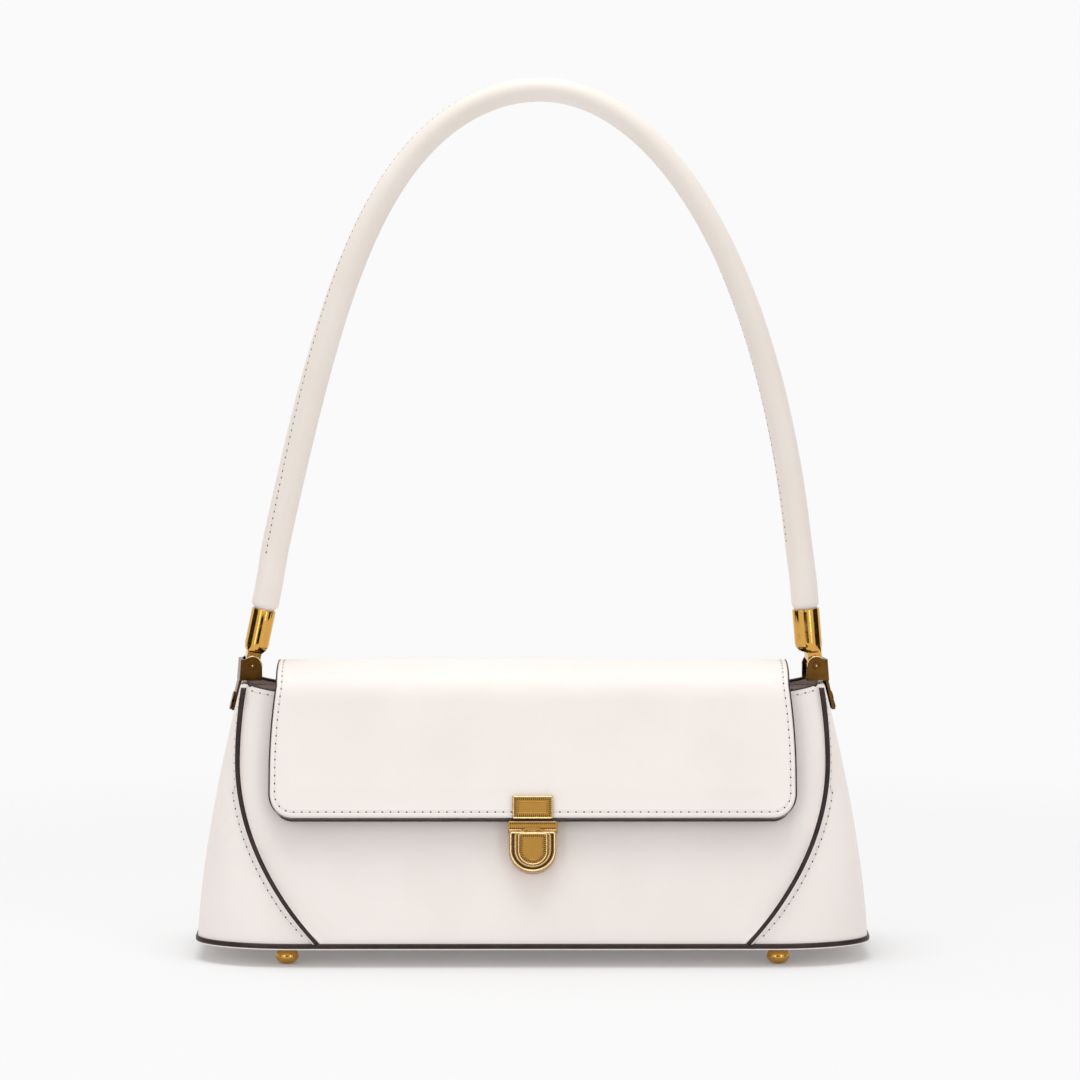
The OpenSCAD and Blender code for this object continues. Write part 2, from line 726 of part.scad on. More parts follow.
// The back plate is flat where the panel bulges, so it keeps a gap
backplate_t = 0.7;
backplate_gap = 0.15;
backplate_foot = frame_foot/2;
backplate_back = -leather_t - backplate_gap - backplate_t;

// Upright D: straight sides and top, round foot
module d_shape(width, top, foot, r) {
    translate([-width/2, foot + r]) square([width, top - foot - r]);
    translate([-width/2 + r, foot]) square([width - 2*r, r]);
    for (side = [-1, 1]) translate([side*(width/2 - r), foot + r]) circle(r);
}

module frame_outline() {
    d_shape(lock_w, frame_top, frame_foot, lock_w/2*round_share);
    translate([-bar_w/2, frame_top]) square([bar_w, bar_h]);
}

module button_outline(grow) {
    d_shape(button_w + 2*grow, button_top + grow, button_top - button_h - grow, button_w/2*round_share + grow);
}

module lock_frame() {
    color("darkgoldenrod") on_lock() difference() {
        union() {
            plate(0, lock_t) frame_outline();
            plate(lock_t, lock_t + button_proud) difference() {
                d_shape(lock_w, frame_top, frame_foot, lock_w/2*round_share);
                d_shape(lock_w - 2*front_wall, frame_top - front_wall, frame_foot + front_wall,
                    lock_w/2*round_share - front_wall);
            }
        }
        plate(back_wall, button_back + flange_t + run_gap) button_outline(flange_w + button_gap);
        plate(back_wall, lock_t + overrun) button_outline(button_gap);
        plate(back_wall, lock_t - front_wall) translate([-slot_w/2, bar_top - tongue_depth - run_gap])
            square([slot_w, tongue_depth + run_gap + overrun]);
    }
}

module lock_button() {
    color("goldenrod") on_lock() {
        plate(button_back, button_back + flange_t) button_outline(flange_w);
        plate(button_back, lock_t + button_proud) button_outline(0);
    }
}

// Diameters of the button's spring
spring_d = 5;
spring_wire = 0.6;

module lock_spring() {
    color("silver") on_lock() plate(back_wall + seat_gap, button_back - seat_gap)
        translate([0, button_top - button_h/2]) difference() {
            circle(spring_d/2);
            circle(spring_d/2 - spring_wire);
        }
}

module lock_stud_holes() {
    on_lock() for (side = [-1, 1]) translate([side*stud_x, 0, lock_stud_z])
        plate(-leather_t - overrun, overrun) circle(lock_stud_r + seat_gap);
}

module lock_studs() {
    color("silver") on_lock() for (side = [-1, 1]) translate([side*stud_x, 0, lock_stud_z]) {
        plate(backplate_back, 0) circle(lock_stud_r);
        plate(backplate_back - lock_stud_head_t, backplate_back) circle(lock_stud_head_r);
    }
}

module lock_backplate() {
    color("silver") on_lock() plate(backplate_back, backplate_back + backplate_t) difference() {
        d_shape(lock_w + front_wall, bar_top, backplate_foot, front_wall);
        for (side = [-1, 1]) translate([side*stud_x, lock_stud_z]) circle(lock_stud_r + seat_gap);
    }
}

// Plate and tongue on the flap. The plate lies on the flap's face, the tongue in the lock's frame.

flap_lean = atan(flap_slope);
module on_flap_foot() {
    translate([0, foot_y, foot_h + flap_foot_h]) rotate([-flap_lean, 0, 0]) children();
}
plate_drop = 0.3;
plate_corner_r = 1;
flap_rivet_r = 0.9;
flap_rivet_head_r = 1.5;
flap_rivet_head_t = 0.5;
flap_rivet_edge = 3;
tongue_plate_t = 0.8;
tongue_plate_h = 7;
// Height above the flap's edge at which the tongue's plate starts
tongue_plate_foot = 1.2;
// Depth of the tongue's inner face in front of the panel, its reach and its step up to the flap
tongue_inner = 1.7;
tongue_reach = 4.4;
tongue_step = 3.6;

module at_flap_rivets() {
    for (side = [-1, 1])
        translate([side*(plate_w/2 - flap_rivet_edge), 0, tongue_plate_foot + tongue_plate_h/2]) children();
}

module flap_rivet_holes() {
    on_flap_foot() at_flap_rivets() plate(-flap_t - overrun, flap_t + overrun) circle(flap_rivet_r + seat_gap);
}

module flap_plate() {
    color("goldenrod") on_flap_foot() plate(flap_t/2, flap_t/2 + plate_t) translate([0, -plate_drop])
        d_shape(plate_w, plate_h, 0, plate_corner_r);
}

module tongue() {
    color("darkgoldenrod") difference() {
        union() {
            on_flap_foot() plate(-flap_t/2 - tongue_plate_t, -flap_t/2)
                translate([-plate_w/2 + plate_corner_r, tongue_plate_foot])
                square([plate_w - 2*plate_corner_r, tongue_plate_h]);
            on_lock() {
                plate(tongue_inner, tongue_inner + tongue_t) translate([-tongue_w/2, bar_top - tongue_depth])
                    square([tongue_w, tongue_depth + tongue_step]);
                plate(tongue_inner, tongue_reach) translate([-tongue_w/2, bar_top + tongue_step - tongue_t])
                    square([tongue_w, tongue_t]);
            }
        }
        flap_rivet_holes();
    }
}

module flap_rivets() {
    back = -flap_t/2 - tongue_plate_t;
    color("goldenrod") on_flap_foot() at_flap_rivets() {
        plate(back, flap_t/2) circle(flap_rivet_r);
        plate(back - flap_rivet_head_t, back) circle(flap_rivet_head_r);
    }
}

// Handle brackets. Their own frame has its origin on the pin, X away from the bag, Y along the pin.

pin_h = body_h + pin_rise;
pin_x = top_l/2 - pin_in;
module bracket_place() {
    translate([pin_x, 0, foot_h + pin_h]) rotate([0, 0, bracket_twist]) children();
}
module left_bracket_place() {
    translate([-pin_x, 0, foot_h + pin_h]) rotate([0, 0, bracket_twist]) mirror([1, 0, 0]) children();
}

// Half the plate's twist across its width, which keeps it clear of the gusset
twist_gap = web_w/2*tan(bracket_twist) + seat_gap;
web_top = 2.6;
web_knee = -pin_rise;
web_l = 12;
web_foot = web_knee - web_l;
web_knee_x = end_x(pin_h + web_knee) + twist_gap - pin_x;
web_foot_x = end_x(pin_h + web_foot) + twist_gap - pin_x;
web_lean = atan((web_foot_x - web_knee_x)/(web_knee - web_foot));
ear_foot = web_knee + seat_gap;
rivet_head_t = 0.7;
rivet_head_d = 3.8;
backing_t = 0.8;
// Shares of the plate's slope at which its rivets sit, and at which its backing starts
rivet_shares = [0.56, 0.85];
backing_share = 0.43;
rivet_l = bracket_t + 2*twist_gap + leather_t + backing_t + seat_gap;

// Each rivet, in a frame on the plate's outer face with Z pointing out of the bag
module rivet_places() {
    for (share = rivet_shares)
        translate([web_knee_x + (web_foot_x - web_knee_x)*share + bracket_t/cos(web_lean), 0,
            web_knee + (web_foot - web_knee)*share])
            rotate([0, 90 - web_lean, 0]) children();
}
// Bore along a rivet, from in front of the plate to behind the backing
module bore(r, depth) {
    translate([0, 0, -depth - overrun]) cylinder(r = r, h = depth + 2*overrun);
}

module ear_shape() {
    circle(ear_r);
    translate([-ear_r, ear_foot]) square([ear_r + web_gap + bracket_t/2, -ear_foot]);
    translate([0, 0]) square([web_gap + bracket_t/2, web_top]);
}

module bracket() {
    color("darkgoldenrod") difference() {
        union() {
            translate([0, web_w/2, 0]) rotate([90, 0, 0]) linear_extrude(web_w) polygon([
                [web_gap, web_top], [web_knee_x, web_knee], [web_foot_x, web_foot],
                [web_foot_x + bracket_t, web_foot], [web_knee_x + bracket_t, web_knee],
                [web_gap + bracket_t, web_top]]);
            for (side = [-1, 1])
                translate([0, side*(fork_gap + bracket_t)/2 + bracket_t/2, 0]) rotate([90, 0, 0])
                    linear_extrude(bracket_t) ear_shape();
            translate([0, fork_gap/2 + bracket_t, 0]) rotate([90, 0, 0])
                linear_extrude(fork_gap + 2*bracket_t) polygon([
                    [web_gap, web_top], [web_knee_x, web_knee], [web_knee_x + bracket_t, web_knee],
                    [web_gap + bracket_t, web_top]]);
        }
        rotate([90, 0, 0]) translate([0, 0, -fork_gap]) cylinder(r = pin_d/2 + seat_gap/2, h = 2*fork_gap);
        rivet_places() bore(rivet_d/2 + seat_gap, bracket_t + overrun);
    }
}

module right_bracket() {
    bracket_place() bracket();
}

module left_bracket() {
    left_bracket_place() bracket();
}

pin_proud = 0.2;
pin_l = fork_gap + 2*bracket_t + 2*pin_proud;
module pin() {
    color("goldenrod") rotate([90, 0, 0]) translate([0, 0, -pin_l/2]) cylinder(r = pin_d/2, h = pin_l);
}

module right_pin() {
    bracket_place() pin();
}

module left_pin() {
    left_bracket_place() pin();
}

module rivet() {
    cylinder(r = rivet_head_d/2, h = rivet_head_t);
    translate([0, 0, -rivet_l]) cylinder(r = rivet_d/2, h = rivet_l);
    translate([0, 0, -rivet_l - rivet_head_t/2])
        cylinder(r = (rivet_head_d - rivet_head_t)/2, h = rivet_head_t/2);
}

module bracket_rivets() {
    color("goldenrod") {
        bracket_place() rivet_places() rivet();
        left_bracket_place() rivet_places() rivet();
    }
}

module backing() {
    length = web_l/cos(web_lean);
    difference() {
        translate([web_knee_x, -web_w/2, web_knee]) rotate([0, 90 - web_lean, 0])
            translate([length*backing_share, 0, bracket_t - rivet_l])
            cube([length*(1 - backing_share), web_w, backing_t]);
        rivet_places() bore(rivet_d/2 + seat_gap, rivet_l);
    }
}

module bracket_backings() {
    color("silver") {
        bracket_place() backing();
        left_bracket_place() backing();
    }
}

// Ferrules. Their own frame has its origin on the pin and Z along the barrel.

tang_half_w = 2.8;
tang_t = fork_gap - 2*run_gap;
tang_top = 5.2;
bore_depth = 12;

module right_ferrule_place() {
    bracket_place() rotate([0, -right_lean, 0]) children();
}
module left_ferrule_place() {
    left_bracket_place() rotate([0, -left_lean, 0]) children();
}

// Oval of two half circles, long along X or along Y
module oval(long_d, short_d, along_x) {
    shift = (long_d - short_d)/2;
    for (side = [-1, 1]) translate([along_x ? side*shift : 0, along_x ? 0 : side*shift]) circle(short_d/2);
    square([along_x ? 2*shift : short_d, along_x ? short_d : 2*shift], center = true);
}

module ferrule(offset_x, along_x) {
    color("gold") difference() {
        union() {
            translate([-offset_x, 0, shoulder_h]) linear_extrude(mouth_h - shoulder_h)
                oval(ferrule_d, ferrule_short_d, along_x);
            hull() {
                translate([-offset_x, 0, shoulder_h]) linear_extrude(seat_gap)
                    oval(ferrule_d, ferrule_short_d, along_x, $fn = 32);
                translate([-tang_half_w, -tang_t/2, tang_top]) cube([2*tang_half_w, tang_t, seat_gap]);
            }
            translate([-tang_half_w, -tang_t/2, 0]) cube([2*tang_half_w, tang_t, tang_top + seat_gap]);
            rotate([90, 0, 0]) translate([0, 0, -tang_t/2]) cylinder(r = tang_half_w, h = tang_t);
        }
        rotate([90, 0, 0]) translate([0, 0, -tang_t/2 - overrun])
            cylinder(r = pin_d/2 + pin_clearance, h = tang_t + 2*overrun);
        translate([-offset_x, 0, mouth_h - bore_depth]) linear_extrude(bore_depth + overrun)
            oval(ferrule_d - 2*ferrule_wall, ferrule_short_d - 2*ferrule_wall, along_x);
    }
}

module right_ferrule() {
    right_ferrule_place() ferrule(right_offset, true);
}

module left_ferrule() {
    left_ferrule_place() ferrule(left_offset, false);
}

// Gap between the bend's leather and the arch's leather, which meet at an angle
end_gap = 0.7;
// Leather of the handle where it stands in a ferrule and bends above its mouth
module bend_leather(offset_x, along_x) {
    wall = ferrule_wall + seat_gap;
    color("linen") translate([-offset_x, 0, mouth_h - bore_depth + seat_gap]) difference() {
        linear_extrude(bore_depth + bend_h + bend_gap - end_gap)
            oval(ferrule_d - 2*wall, ferrule_short_d - 2*wall, along_x);
        translate([0, 0, -overrun]) cylinder(r = core_d/2, h = bore_depth + bend_h + bend_gap + 2*overrun);
    }
}

module right_bend_leather() {
    right_ferrule_place() bend_leather(right_offset, true);
}

module left_bend_leather() {
    left_ferrule_place() bend_leather(left_offset, false);
}

module bend_core(offset_x) {
    color("tan") translate([-offset_x, 0, mouth_h + bend_h]) sphere(core_d/2 - seat_gap);
}

module right_bend_core() {
    right_ferrule_place() bend_core(right_offset);
}

module left_bend_core() {
    left_ferrule_place() bend_core(left_offset);
}

// Middle of a bend, in the bag's frame
function bend_middle(side, lean, offset_x) =
    let(reach = mouth_h + bend_h,
        local_x = -reach*sin(lean) - offset_x*cos(lean), local_z = reach*cos(lean) - offset_x*sin(lean))
    [side*(pin_x + local_x*cos(bracket_twist)), side*local_x*sin(bracket_twist), foot_h + pin_h + local_z];
left_bend = bend_middle(-1, left_lean, left_offset);
right_bend = bend_middle(1, right_lean, right_offset);

// Handle arch. Each leg leaves the top level and steepens along its length towards its lean.

// How much tighter than its leg the crown bends, to the left and to the right
left_crown_bend = 3;
right_crown_bend = 0.4;
leg_steps = 30;

// Places along a leg of unit length: [out, down], with the direction steepening from level
function tanh(t) = (exp(2*t) - 1)/(exp(2*t) + 1);
function leg_turn(share, lean, bend) = (90 - lean)*tanh(bend*share)/tanh(bend);
function leg_step(i, lean, bend) =
    let(turn = leg_turn((i + 0.5)/leg_steps, lean, bend)) [cos(turn), sin(turn)]/leg_steps;
function leg_path(lean, bend) =
    [for (i = 0, p = [0, 0]; i <= leg_steps; p = p + leg_step(i, lean, bend), i = i + 1) p];
// Leg from the top to a bend, stretched to meet both
function leg(bend, lean, crown_bend) =
    let(path = leg_path(lean, crown_bend), last = path[leg_steps])
    [for (p = path) [handle_skew + (bend[0] - handle_skew)*p[0]/last[0],
        bend[1]*p[0]/last[0], handle_top + (bend[2] - handle_top)*p[1]/last[1]]];
left_leg = leg(left_bend, left_leg_lean, left_crown_bend);
right_leg = leg(right_bend, right_leg_lean, right_crown_bend);
handle_middle = concat(reversed(left_leg), [for (i = [1:leg_steps]) right_leg[i]]);
handle_last = len(handle_middle) - 1;

// Middle line with its two end points drawn back to the ends of the bends
function toward(a, b, d) = a + (b - a)*d/norm(b - a);
handle_line = [for (i = [0:handle_last])
    i == 0 ? toward(handle_middle[0], handle_middle[1], bend_gap)
        : i == handle_last ? toward(handle_middle[handle_last], handle_middle[handle_last - 1], bend_gap)
        : handle_middle[i]];

// Outline of the handle's section: a circle with a lip towards angle 0
section_sides = 12;
function section_r(a) = handle_d/2 + lip_h*pow(max(0, cos(a)), 6);
// The lip turns from the outside of the left leg over the back to the inside of the right leg
function lip_turn(i) = 180*i/handle_last - 20;
function handle_ring(i, r, swell, sides) =
    let(a = handle_line[max(0, i - 1)], b = handle_line[min(handle_last, i + 1)], d = (b - a)/norm(b - a),
        out = [-d[2], 0, d[0]]/norm([d[2], d[0]]), back = [0, 1, 0])
    [for (s = [0:sides - 1]) let(turn = 360*s/sides, angle = lip_turn(i) + turn,
        reach = swell ? section_r(turn) : r)
        handle_line[i] + reach*(cos(angle)*out + sin(angle)*back)];

module handle_leather() {
    color("linen") hollow_tube(
        [for (i = [0:handle_last]) handle_ring(i, 0, true, section_sides)],
        [for (i = [0:handle_last]) handle_ring(i, core_d/2 + seat_gap, false, section_sides)]);
}

module handle_core() {
    color("tan") tube([for (i = [0:handle_last]) handle_ring(i, core_d/2 - seat_gap, false, 8)]);
}

// Zip

zip_z = foot_h + tape_top_h;
zip_open_left = zip_left_in - top_l/2;
zip_open_right = top_l/2 - zip_right_in;
tooth_gap = 0.15;
fold_gap = tape_t/2 + tooth_gap;
tooth_w = tooth_pitch/2 - tooth_gap;
// Reach of a tooth past the middle, and the start of the strip behind the teeth
tooth_reach = coil_half_w*0.35;
coil_strip = coil_half_w*0.44;
slider_reach = coil_half_w + run_gap;
// Solid tape past the right end of the coil
zip_end_tape = 6;
zip_end_l = end_x(tape_top_h) - leather_t - zip_open_right - zip_end_tape;

// Quarter of the room between panels and gussets, with the corners that these have themselves
function room_quarter(h, inset) = concat(
    [for (s = column_shares) let(x = s*(s == 1 ? root_x(h) : panel_edge_x(h))) [x, front_y(h, x, inset)]],
    gusset_round(h, seat_gap, inset));
function room_half(h, inset) = let(q = room_quarter(h, inset)) concat(q, [for (p = reversed(q)) [p[0], -p[1]]]);
function room(h, inset) = let(half = room_half(h, inset)) concat(half, [for (p = half) -p]);

module zip_frame() {
    color("#3a2a22") translate([0, 0, zip_z - tape_t]) linear_extrude(tape_t) difference() {
        polygon(room(tape_top_h, leather_t + seat_gap));
        translate([zip_open_left - run_gap, -zip_fold_w/2 - fold_gap])
            square([zip_open_right - zip_open_left + 2*run_gap, zip_fold_w + 2*fold_gap]);
        translate([zip_open_right, -coil_half_w - seat_gap]) square([zip_end_l, 2*coil_half_w + 2*seat_gap]);
    }
}

// Toothed strip from one place along the length to another, on the front side of the middle
module coil_comb(from, to, shift) {
    first = ceil((from - shift*tooth_pitch)/tooth_pitch);
    last = floor((to - tooth_w - shift*tooth_pitch)/tooth_pitch);
    points = concat([[from, -coil_half_w], [from, -coil_strip]],
        [for (i = [first:last]) let(x = (i + shift)*tooth_pitch)
            each [[x, -coil_strip], [x, tooth_reach], [x + tooth_w, tooth_reach], [x + tooth_w, -coil_strip]]],
        [[to, -coil_strip], [to, -coil_half_w]]);
    translate([0, 0, zip_z - tape_t/2 - coil_h/2]) linear_extrude(coil_h) polygon(points);
}

module zip_front_coil() {
    color("#2c211c") coil_comb(zip_open_left, zip_open_right, 0.1);
}

module zip_back_coil() {
    color("#2c211c") mirror([0, 1, 0]) coil_comb(zip_open_left, zip_open_right, 0.6);
}

module zip_fixed_coil() {
    color("#2c211c") {
        coil_comb(zip_open_right + run_gap, zip_open_right + zip_end_l, 0.1);
        mirror([0, 1, 0]) coil_comb(zip_open_right + run_gap, zip_open_right + zip_end_l, 0.6);
    }
}

module zip_tape() {
    translate([zip_open_left, -zip_fold_w/2, zip_z - tape_t])
        cube([zip_open_right - zip_open_left, zip_fold_w/2 - coil_half_w, tape_t]);
}

module zip_front_tape() {
    color("#3a2a22") zip_tape();
}

module zip_back_tape() {
    color("#3a2a22") mirror([0, 1, 0]) zip_tape();
}

// Slider, parked past the left end of the coil
slider_x = zip_open_left - run_gap - slider_l/2;
slider_t = 1;
slider_top_gap = 0.2;
bail_w = 2;
bail_t = 0.8;
bail_h = 2.4;
bail_l = 6;

// Plate of the slider with its two side lips, on one side of the tape
module slider_half(coil_top) {
    lip_w = slider_w/2 - slider_reach;
    translate([-slider_l/2, -slider_w/2, coil_top + slider_top_gap]) cube([slider_l, slider_w, slider_t]);
    for (y = [-slider_w/2, slider_reach])
        translate([-slider_l/2, y, slider_top_gap]) cube([slider_l, lip_w, coil_top]);
}

module zip_slider() {
    coil_top = coil_h/2 - tape_t/2;
    color("darkgoldenrod") translate([slider_x, 0, zip_z]) {
        slider_half(coil_top);
        translate([0, 0, -tape_t]) mirror([0, 0, 1]) slider_half(coil_top);
        translate([0, bail_w/2, coil_top + slider_top_gap + slider_t]) rotate([90, 0, 0]) linear_extrude(bail_w)
            difference() {
                translate([-bail_l/2, 0]) square([bail_l, bail_h]);
                translate([-bail_l/2 + bail_t, -overrun]) square([bail_l - 2*bail_t, bail_h + overrun - bail_t]);
            }
    }
}

pull_bar_r = 0.6;
pull_arm = 1;
pull_t = 1;
pull_z = zip_z + coil_h/2 - tape_t/2 + slider_top_gap + slider_t + (bail_h - bail_t)/2;

module zip_pull() {
    half = bail_w/2 + run_gap;
    color("goldenrod") translate([slider_x, 0, pull_z]) {
        rotate([90, 0, 0]) translate([0, 0, -half - pull_arm]) cylinder(r = pull_bar_r, h = 2*(half + pull_arm));
        translate([0, 0, -pull_t/2]) linear_extrude(pull_t) difference() {
            union() {
                translate([0, -half - pull_arm]) square([pull_l - half - pull_arm, 2*(half + pull_arm)]);
                translate([pull_l - half - pull_arm, 0]) circle(half + pull_arm);
            }
            translate([-overrun, -half]) square([bail_l/2 + run_gap + overrun, 2*half]);
        }
    }
}

front_panel();
back_panel();
left_gusset();
right_gusset();
base_panel();
base_board();
lining();
base_edge();
front_seam_edges();
back_seam_edges();
front_top_edge();
back_top_edge();
feet();
foot_washers();
foot_nuts();
flap_tail();
flap_leather();
flap_lining();
flap_edge();
flap_plate();
tongue();
flap_rivets();
lock_frame();
lock_button();
lock_spring();
lock_backplate();
lock_studs();
left_bracket();
right_bracket();
left_pin();
right_pin();
bracket_rivets();
bracket_backings();
left_ferrule();
right_ferrule();
left_bend_leather();
right_bend_leather();
left_bend_core();
right_bend_core();
handle_leather();
handle_core();
zip_frame();
zip_fixed_coil();
zip_front_tape();
zip_back_tape();
zip_front_coil();
zip_back_coil();
zip_slider();
zip_pull();
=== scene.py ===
"""Looks of the white flap handbag: leather, lining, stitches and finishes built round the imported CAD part.

Sizes are millimetres in the row frame: X along the length, Y towards the back and Z up.
Heights named h count from the underside of the base, which stands FOOT_H above the ground.
"""

import math

import bmesh
import bpy
import numpy as np
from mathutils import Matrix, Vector


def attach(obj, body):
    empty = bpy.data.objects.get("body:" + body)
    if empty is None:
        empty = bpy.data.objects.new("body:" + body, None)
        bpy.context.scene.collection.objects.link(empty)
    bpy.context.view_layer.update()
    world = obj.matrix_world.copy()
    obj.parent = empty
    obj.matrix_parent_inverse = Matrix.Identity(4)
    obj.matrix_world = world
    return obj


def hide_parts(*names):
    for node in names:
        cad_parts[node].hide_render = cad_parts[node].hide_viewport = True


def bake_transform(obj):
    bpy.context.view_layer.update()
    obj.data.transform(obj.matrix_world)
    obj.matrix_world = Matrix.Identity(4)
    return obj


MM = 0.001
FOOT_H = 7.0
BODY_H = 103.0
BASE_L, BASE_W = 269.0, 90.0
TOP_L, TOP_W = 234.4, 34.0
END_BOW, SIDE_BOW = 1.5, 1.15
CORNER_X, CORNER_Y, TOP_CORNER = 40.0, 24.0, 5.0
BASE_T, BASE_LIP = 2.4, 0.9
PANEL_H, PANEL_RISE, RISE_X, RISE_L = 99.4, 3.6, 92.2, 22.5
GUSSET_H = 101.75
SEAM_WIDE_H, SEAM_IN, SEAM_FOOT_X, SEAM_TOP_X = 74.0, 6.0, 83.5, 115.5
SEAM_HIDDEN_H = 60.0
LEATHER_T, LAYER_T = 1.6, 1.1
FIN_H, FIN_FULL_H = 3.0, 12.0
FLAP_T, FLAP_LEATHER_T, TAIL_GAP = 2.6, 1.5, 0.05
FLAP_HALF, FLAP_DRAW, DRAW_H, DRAW_L = 105.2, 2.4, 103.25, 33.98
FLAP_FOOT_H, FLAP_CORNER = 51.6, 9.7
FLAP_BACK, FLAP_TOP, FLAP_FOLD, FLAP_FOOT = (18.35, 101.75), (0, 109.5), (-25.17, 97), (-38.65, FLAP_FOOT_H)
TAIL_FOOT_H, TAIL_L, TAIL_CORNER = 78.4, 22.0, 3.0
HINGE_H = 101.6
EDGE = 0.4
STITCH_PITCH = 3.2

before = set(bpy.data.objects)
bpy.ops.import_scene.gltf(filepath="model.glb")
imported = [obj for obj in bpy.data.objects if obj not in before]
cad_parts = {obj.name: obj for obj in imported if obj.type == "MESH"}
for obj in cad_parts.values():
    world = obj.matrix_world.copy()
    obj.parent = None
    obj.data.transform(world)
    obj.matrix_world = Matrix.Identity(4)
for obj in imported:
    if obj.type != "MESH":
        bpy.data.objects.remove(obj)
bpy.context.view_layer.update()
rng = np.random.default_rng(7)


# Shapes of the body

def end_x(h):
    return BASE_L/2 - (BASE_L - TOP_L)/2*(np.maximum(h, 0)/BODY_H)**END_BOW


def side_y(h):
    return BASE_W/2 - (BASE_W - TOP_W)/2*(np.maximum(h, 0)/BODY_H)**SIDE_BOW


def corner(h, inset=0.0):
    """Reach of the rounded corner along X and Y at a height, on a layer inside the leather by inset."""
    x, y = (reach - (reach - TOP_CORNER)*h/BODY_H for reach in (CORNER_X, CORNER_Y))
    return np.maximum(x - inset, 0.1*x), np.maximum(y - inset, 0.1*y)


def front_y(h, x, inset=0.0):
    rx, ry = corner(h, inset)
    mx, my = end_x(h) - corner(h)[0], side_y(h) - corner(h)[1]
    u = np.clip((np.abs(x) - mx)/rx, 0, 1)
    return -my - ry*np.sqrt(1 - u*u)


def seam_x(h):
    """Place of the front seam along X: widest at one height, and drawn in towards its foot and its top."""
    wide = end_x(SEAM_WIDE_H) - SEAM_IN
    low = wide - (wide - SEAM_FOOT_X)*(1 - h/SEAM_WIDE_H)**2
    high = wide - (wide - SEAM_TOP_X)*((h - SEAM_WIDE_H)/(BODY_H - SEAM_WIDE_H))**2
    return np.where(h < SEAM_WIDE_H, low, high)


def seam_layer(h):
    """Width of one leather layer of the turned-out seam, measured level: more where the seam slants."""
    slope = seam_x(h + 1.0) - seam_x(h)
    return LAYER_T*np.sqrt(1 + slope*slope)


def fin(h):
    """Turned-out seam at a height: root, directions to its tip and to the panel's side, reach and layer."""
    lean = np.radians(32 - 26*h/BODY_H)
    reach = BASE_LIP + (FIN_H - BASE_LIP)*np.minimum(1, np.maximum(0, h - BASE_T)/FIN_FULL_H)
    root_x = seam_x(h) + reach*np.sin(lean)
    root = np.array([root_x, front_y(h, root_x)])
    out = np.array([-np.sin(lean), -np.cos(lean)])
    side = np.array([-np.cos(lean), np.sin(lean)])
    return root, out, side, reach, seam_layer(h)


def panel_top(x):
    """Height of the panel's top edge, which rises near the seams."""
    share = np.clip((np.abs(x) - RISE_X)/RISE_L, 0, 1)
    return PANEL_H + PANEL_RISE*share**2


def smooth(t):
    t = np.clip(t, 0, 1)
    return t*t*(3 - 2*t)


def bezier(a, b, c, d, t):
    t = np.asarray(t, float)[:, None]
    a, b, c, d = (np.asarray(p, float) for p in (a, b, c, d))
    return (1 - t)**3*a + 3*t*(1 - t)**2*b + 3*t*t*(1 - t)*c + t**3*d


def distances(points):
    """Distance along a polyline to each of its points."""
    return np.r_[0, np.cumsum(np.linalg.norm(np.diff(points, axis=0), axis=1))]


def resample(points, step):
    """Points at even distances along a polyline."""
    points = np.asarray(points, float)
    along = distances(points)
    at = np.linspace(0, along[-1], max(2, int(round(along[-1]/step)) + 1))
    return np.stack([np.interp(at, along, points[:, k]) for k in range(points.shape[1])], 1)


def unit(v):
    return v/np.maximum(np.linalg.norm(v, axis=-1, keepdims=True), 1e-9)


# Meshes

def grid_faces(rows, cols, wrap=False, start=0):
    """Faces between the rows and columns of a grid of points."""
    r, c = np.meshgrid(np.arange(rows - 1), np.arange(cols if wrap else cols - 1), indexing="ij")
    n = (c + 1) % cols
    corners = np.stack([r*cols + c, r*cols + n, (r + 1)*cols + n, (r + 1)*cols + c], -1)
    return (start + corners.reshape(-1, 4)).tolist()


def thick(outer, inner):
    """Closed shell between two grids of points."""
    rows, cols = outer.shape[:2]
    count = rows*cols
    faces = grid_faces(rows, cols) + [f[::-1] for f in grid_faces(rows, cols, start=count)]
    border = [*range(cols)] + [r*cols + cols - 1 for r in range(1, rows)]
    border += [(rows - 1)*cols + c for c in range(cols - 2, -1, -1)]
    border += [r*cols for r in range(rows - 2, 0, -1)]
    for a, b in zip(border, border[1:] + border[:1]):
        faces.append([b, a, count + a, count + b])
    return np.vstack([outer.reshape(-1, 3), inner.reshape(-1, 3)]), faces


def tube(rings, closed=False):
    """Skin over rings of points, shut at both ends or joined into a loop."""
    rings = np.asarray(rings, float)
    rows, cols = rings.shape[:2]
    if closed:
        rings = np.concatenate([rings, rings[:1]])
    faces = grid_faces(len(rings), cols, wrap=True)
    points = rings.reshape(-1, 3)
    if closed:
        faces = [[i % (rows*cols) for i in f] for f in faces]
        points = points[:rows*cols]
    else:
        faces += [list(range(cols)), list(range((rows - 1)*cols, rows*cols))]
    return points, faces


def add_object(name, data):
    obj = bpy.data.objects.new(name, data)
    bpy.context.collection.objects.link(obj)
    return obj


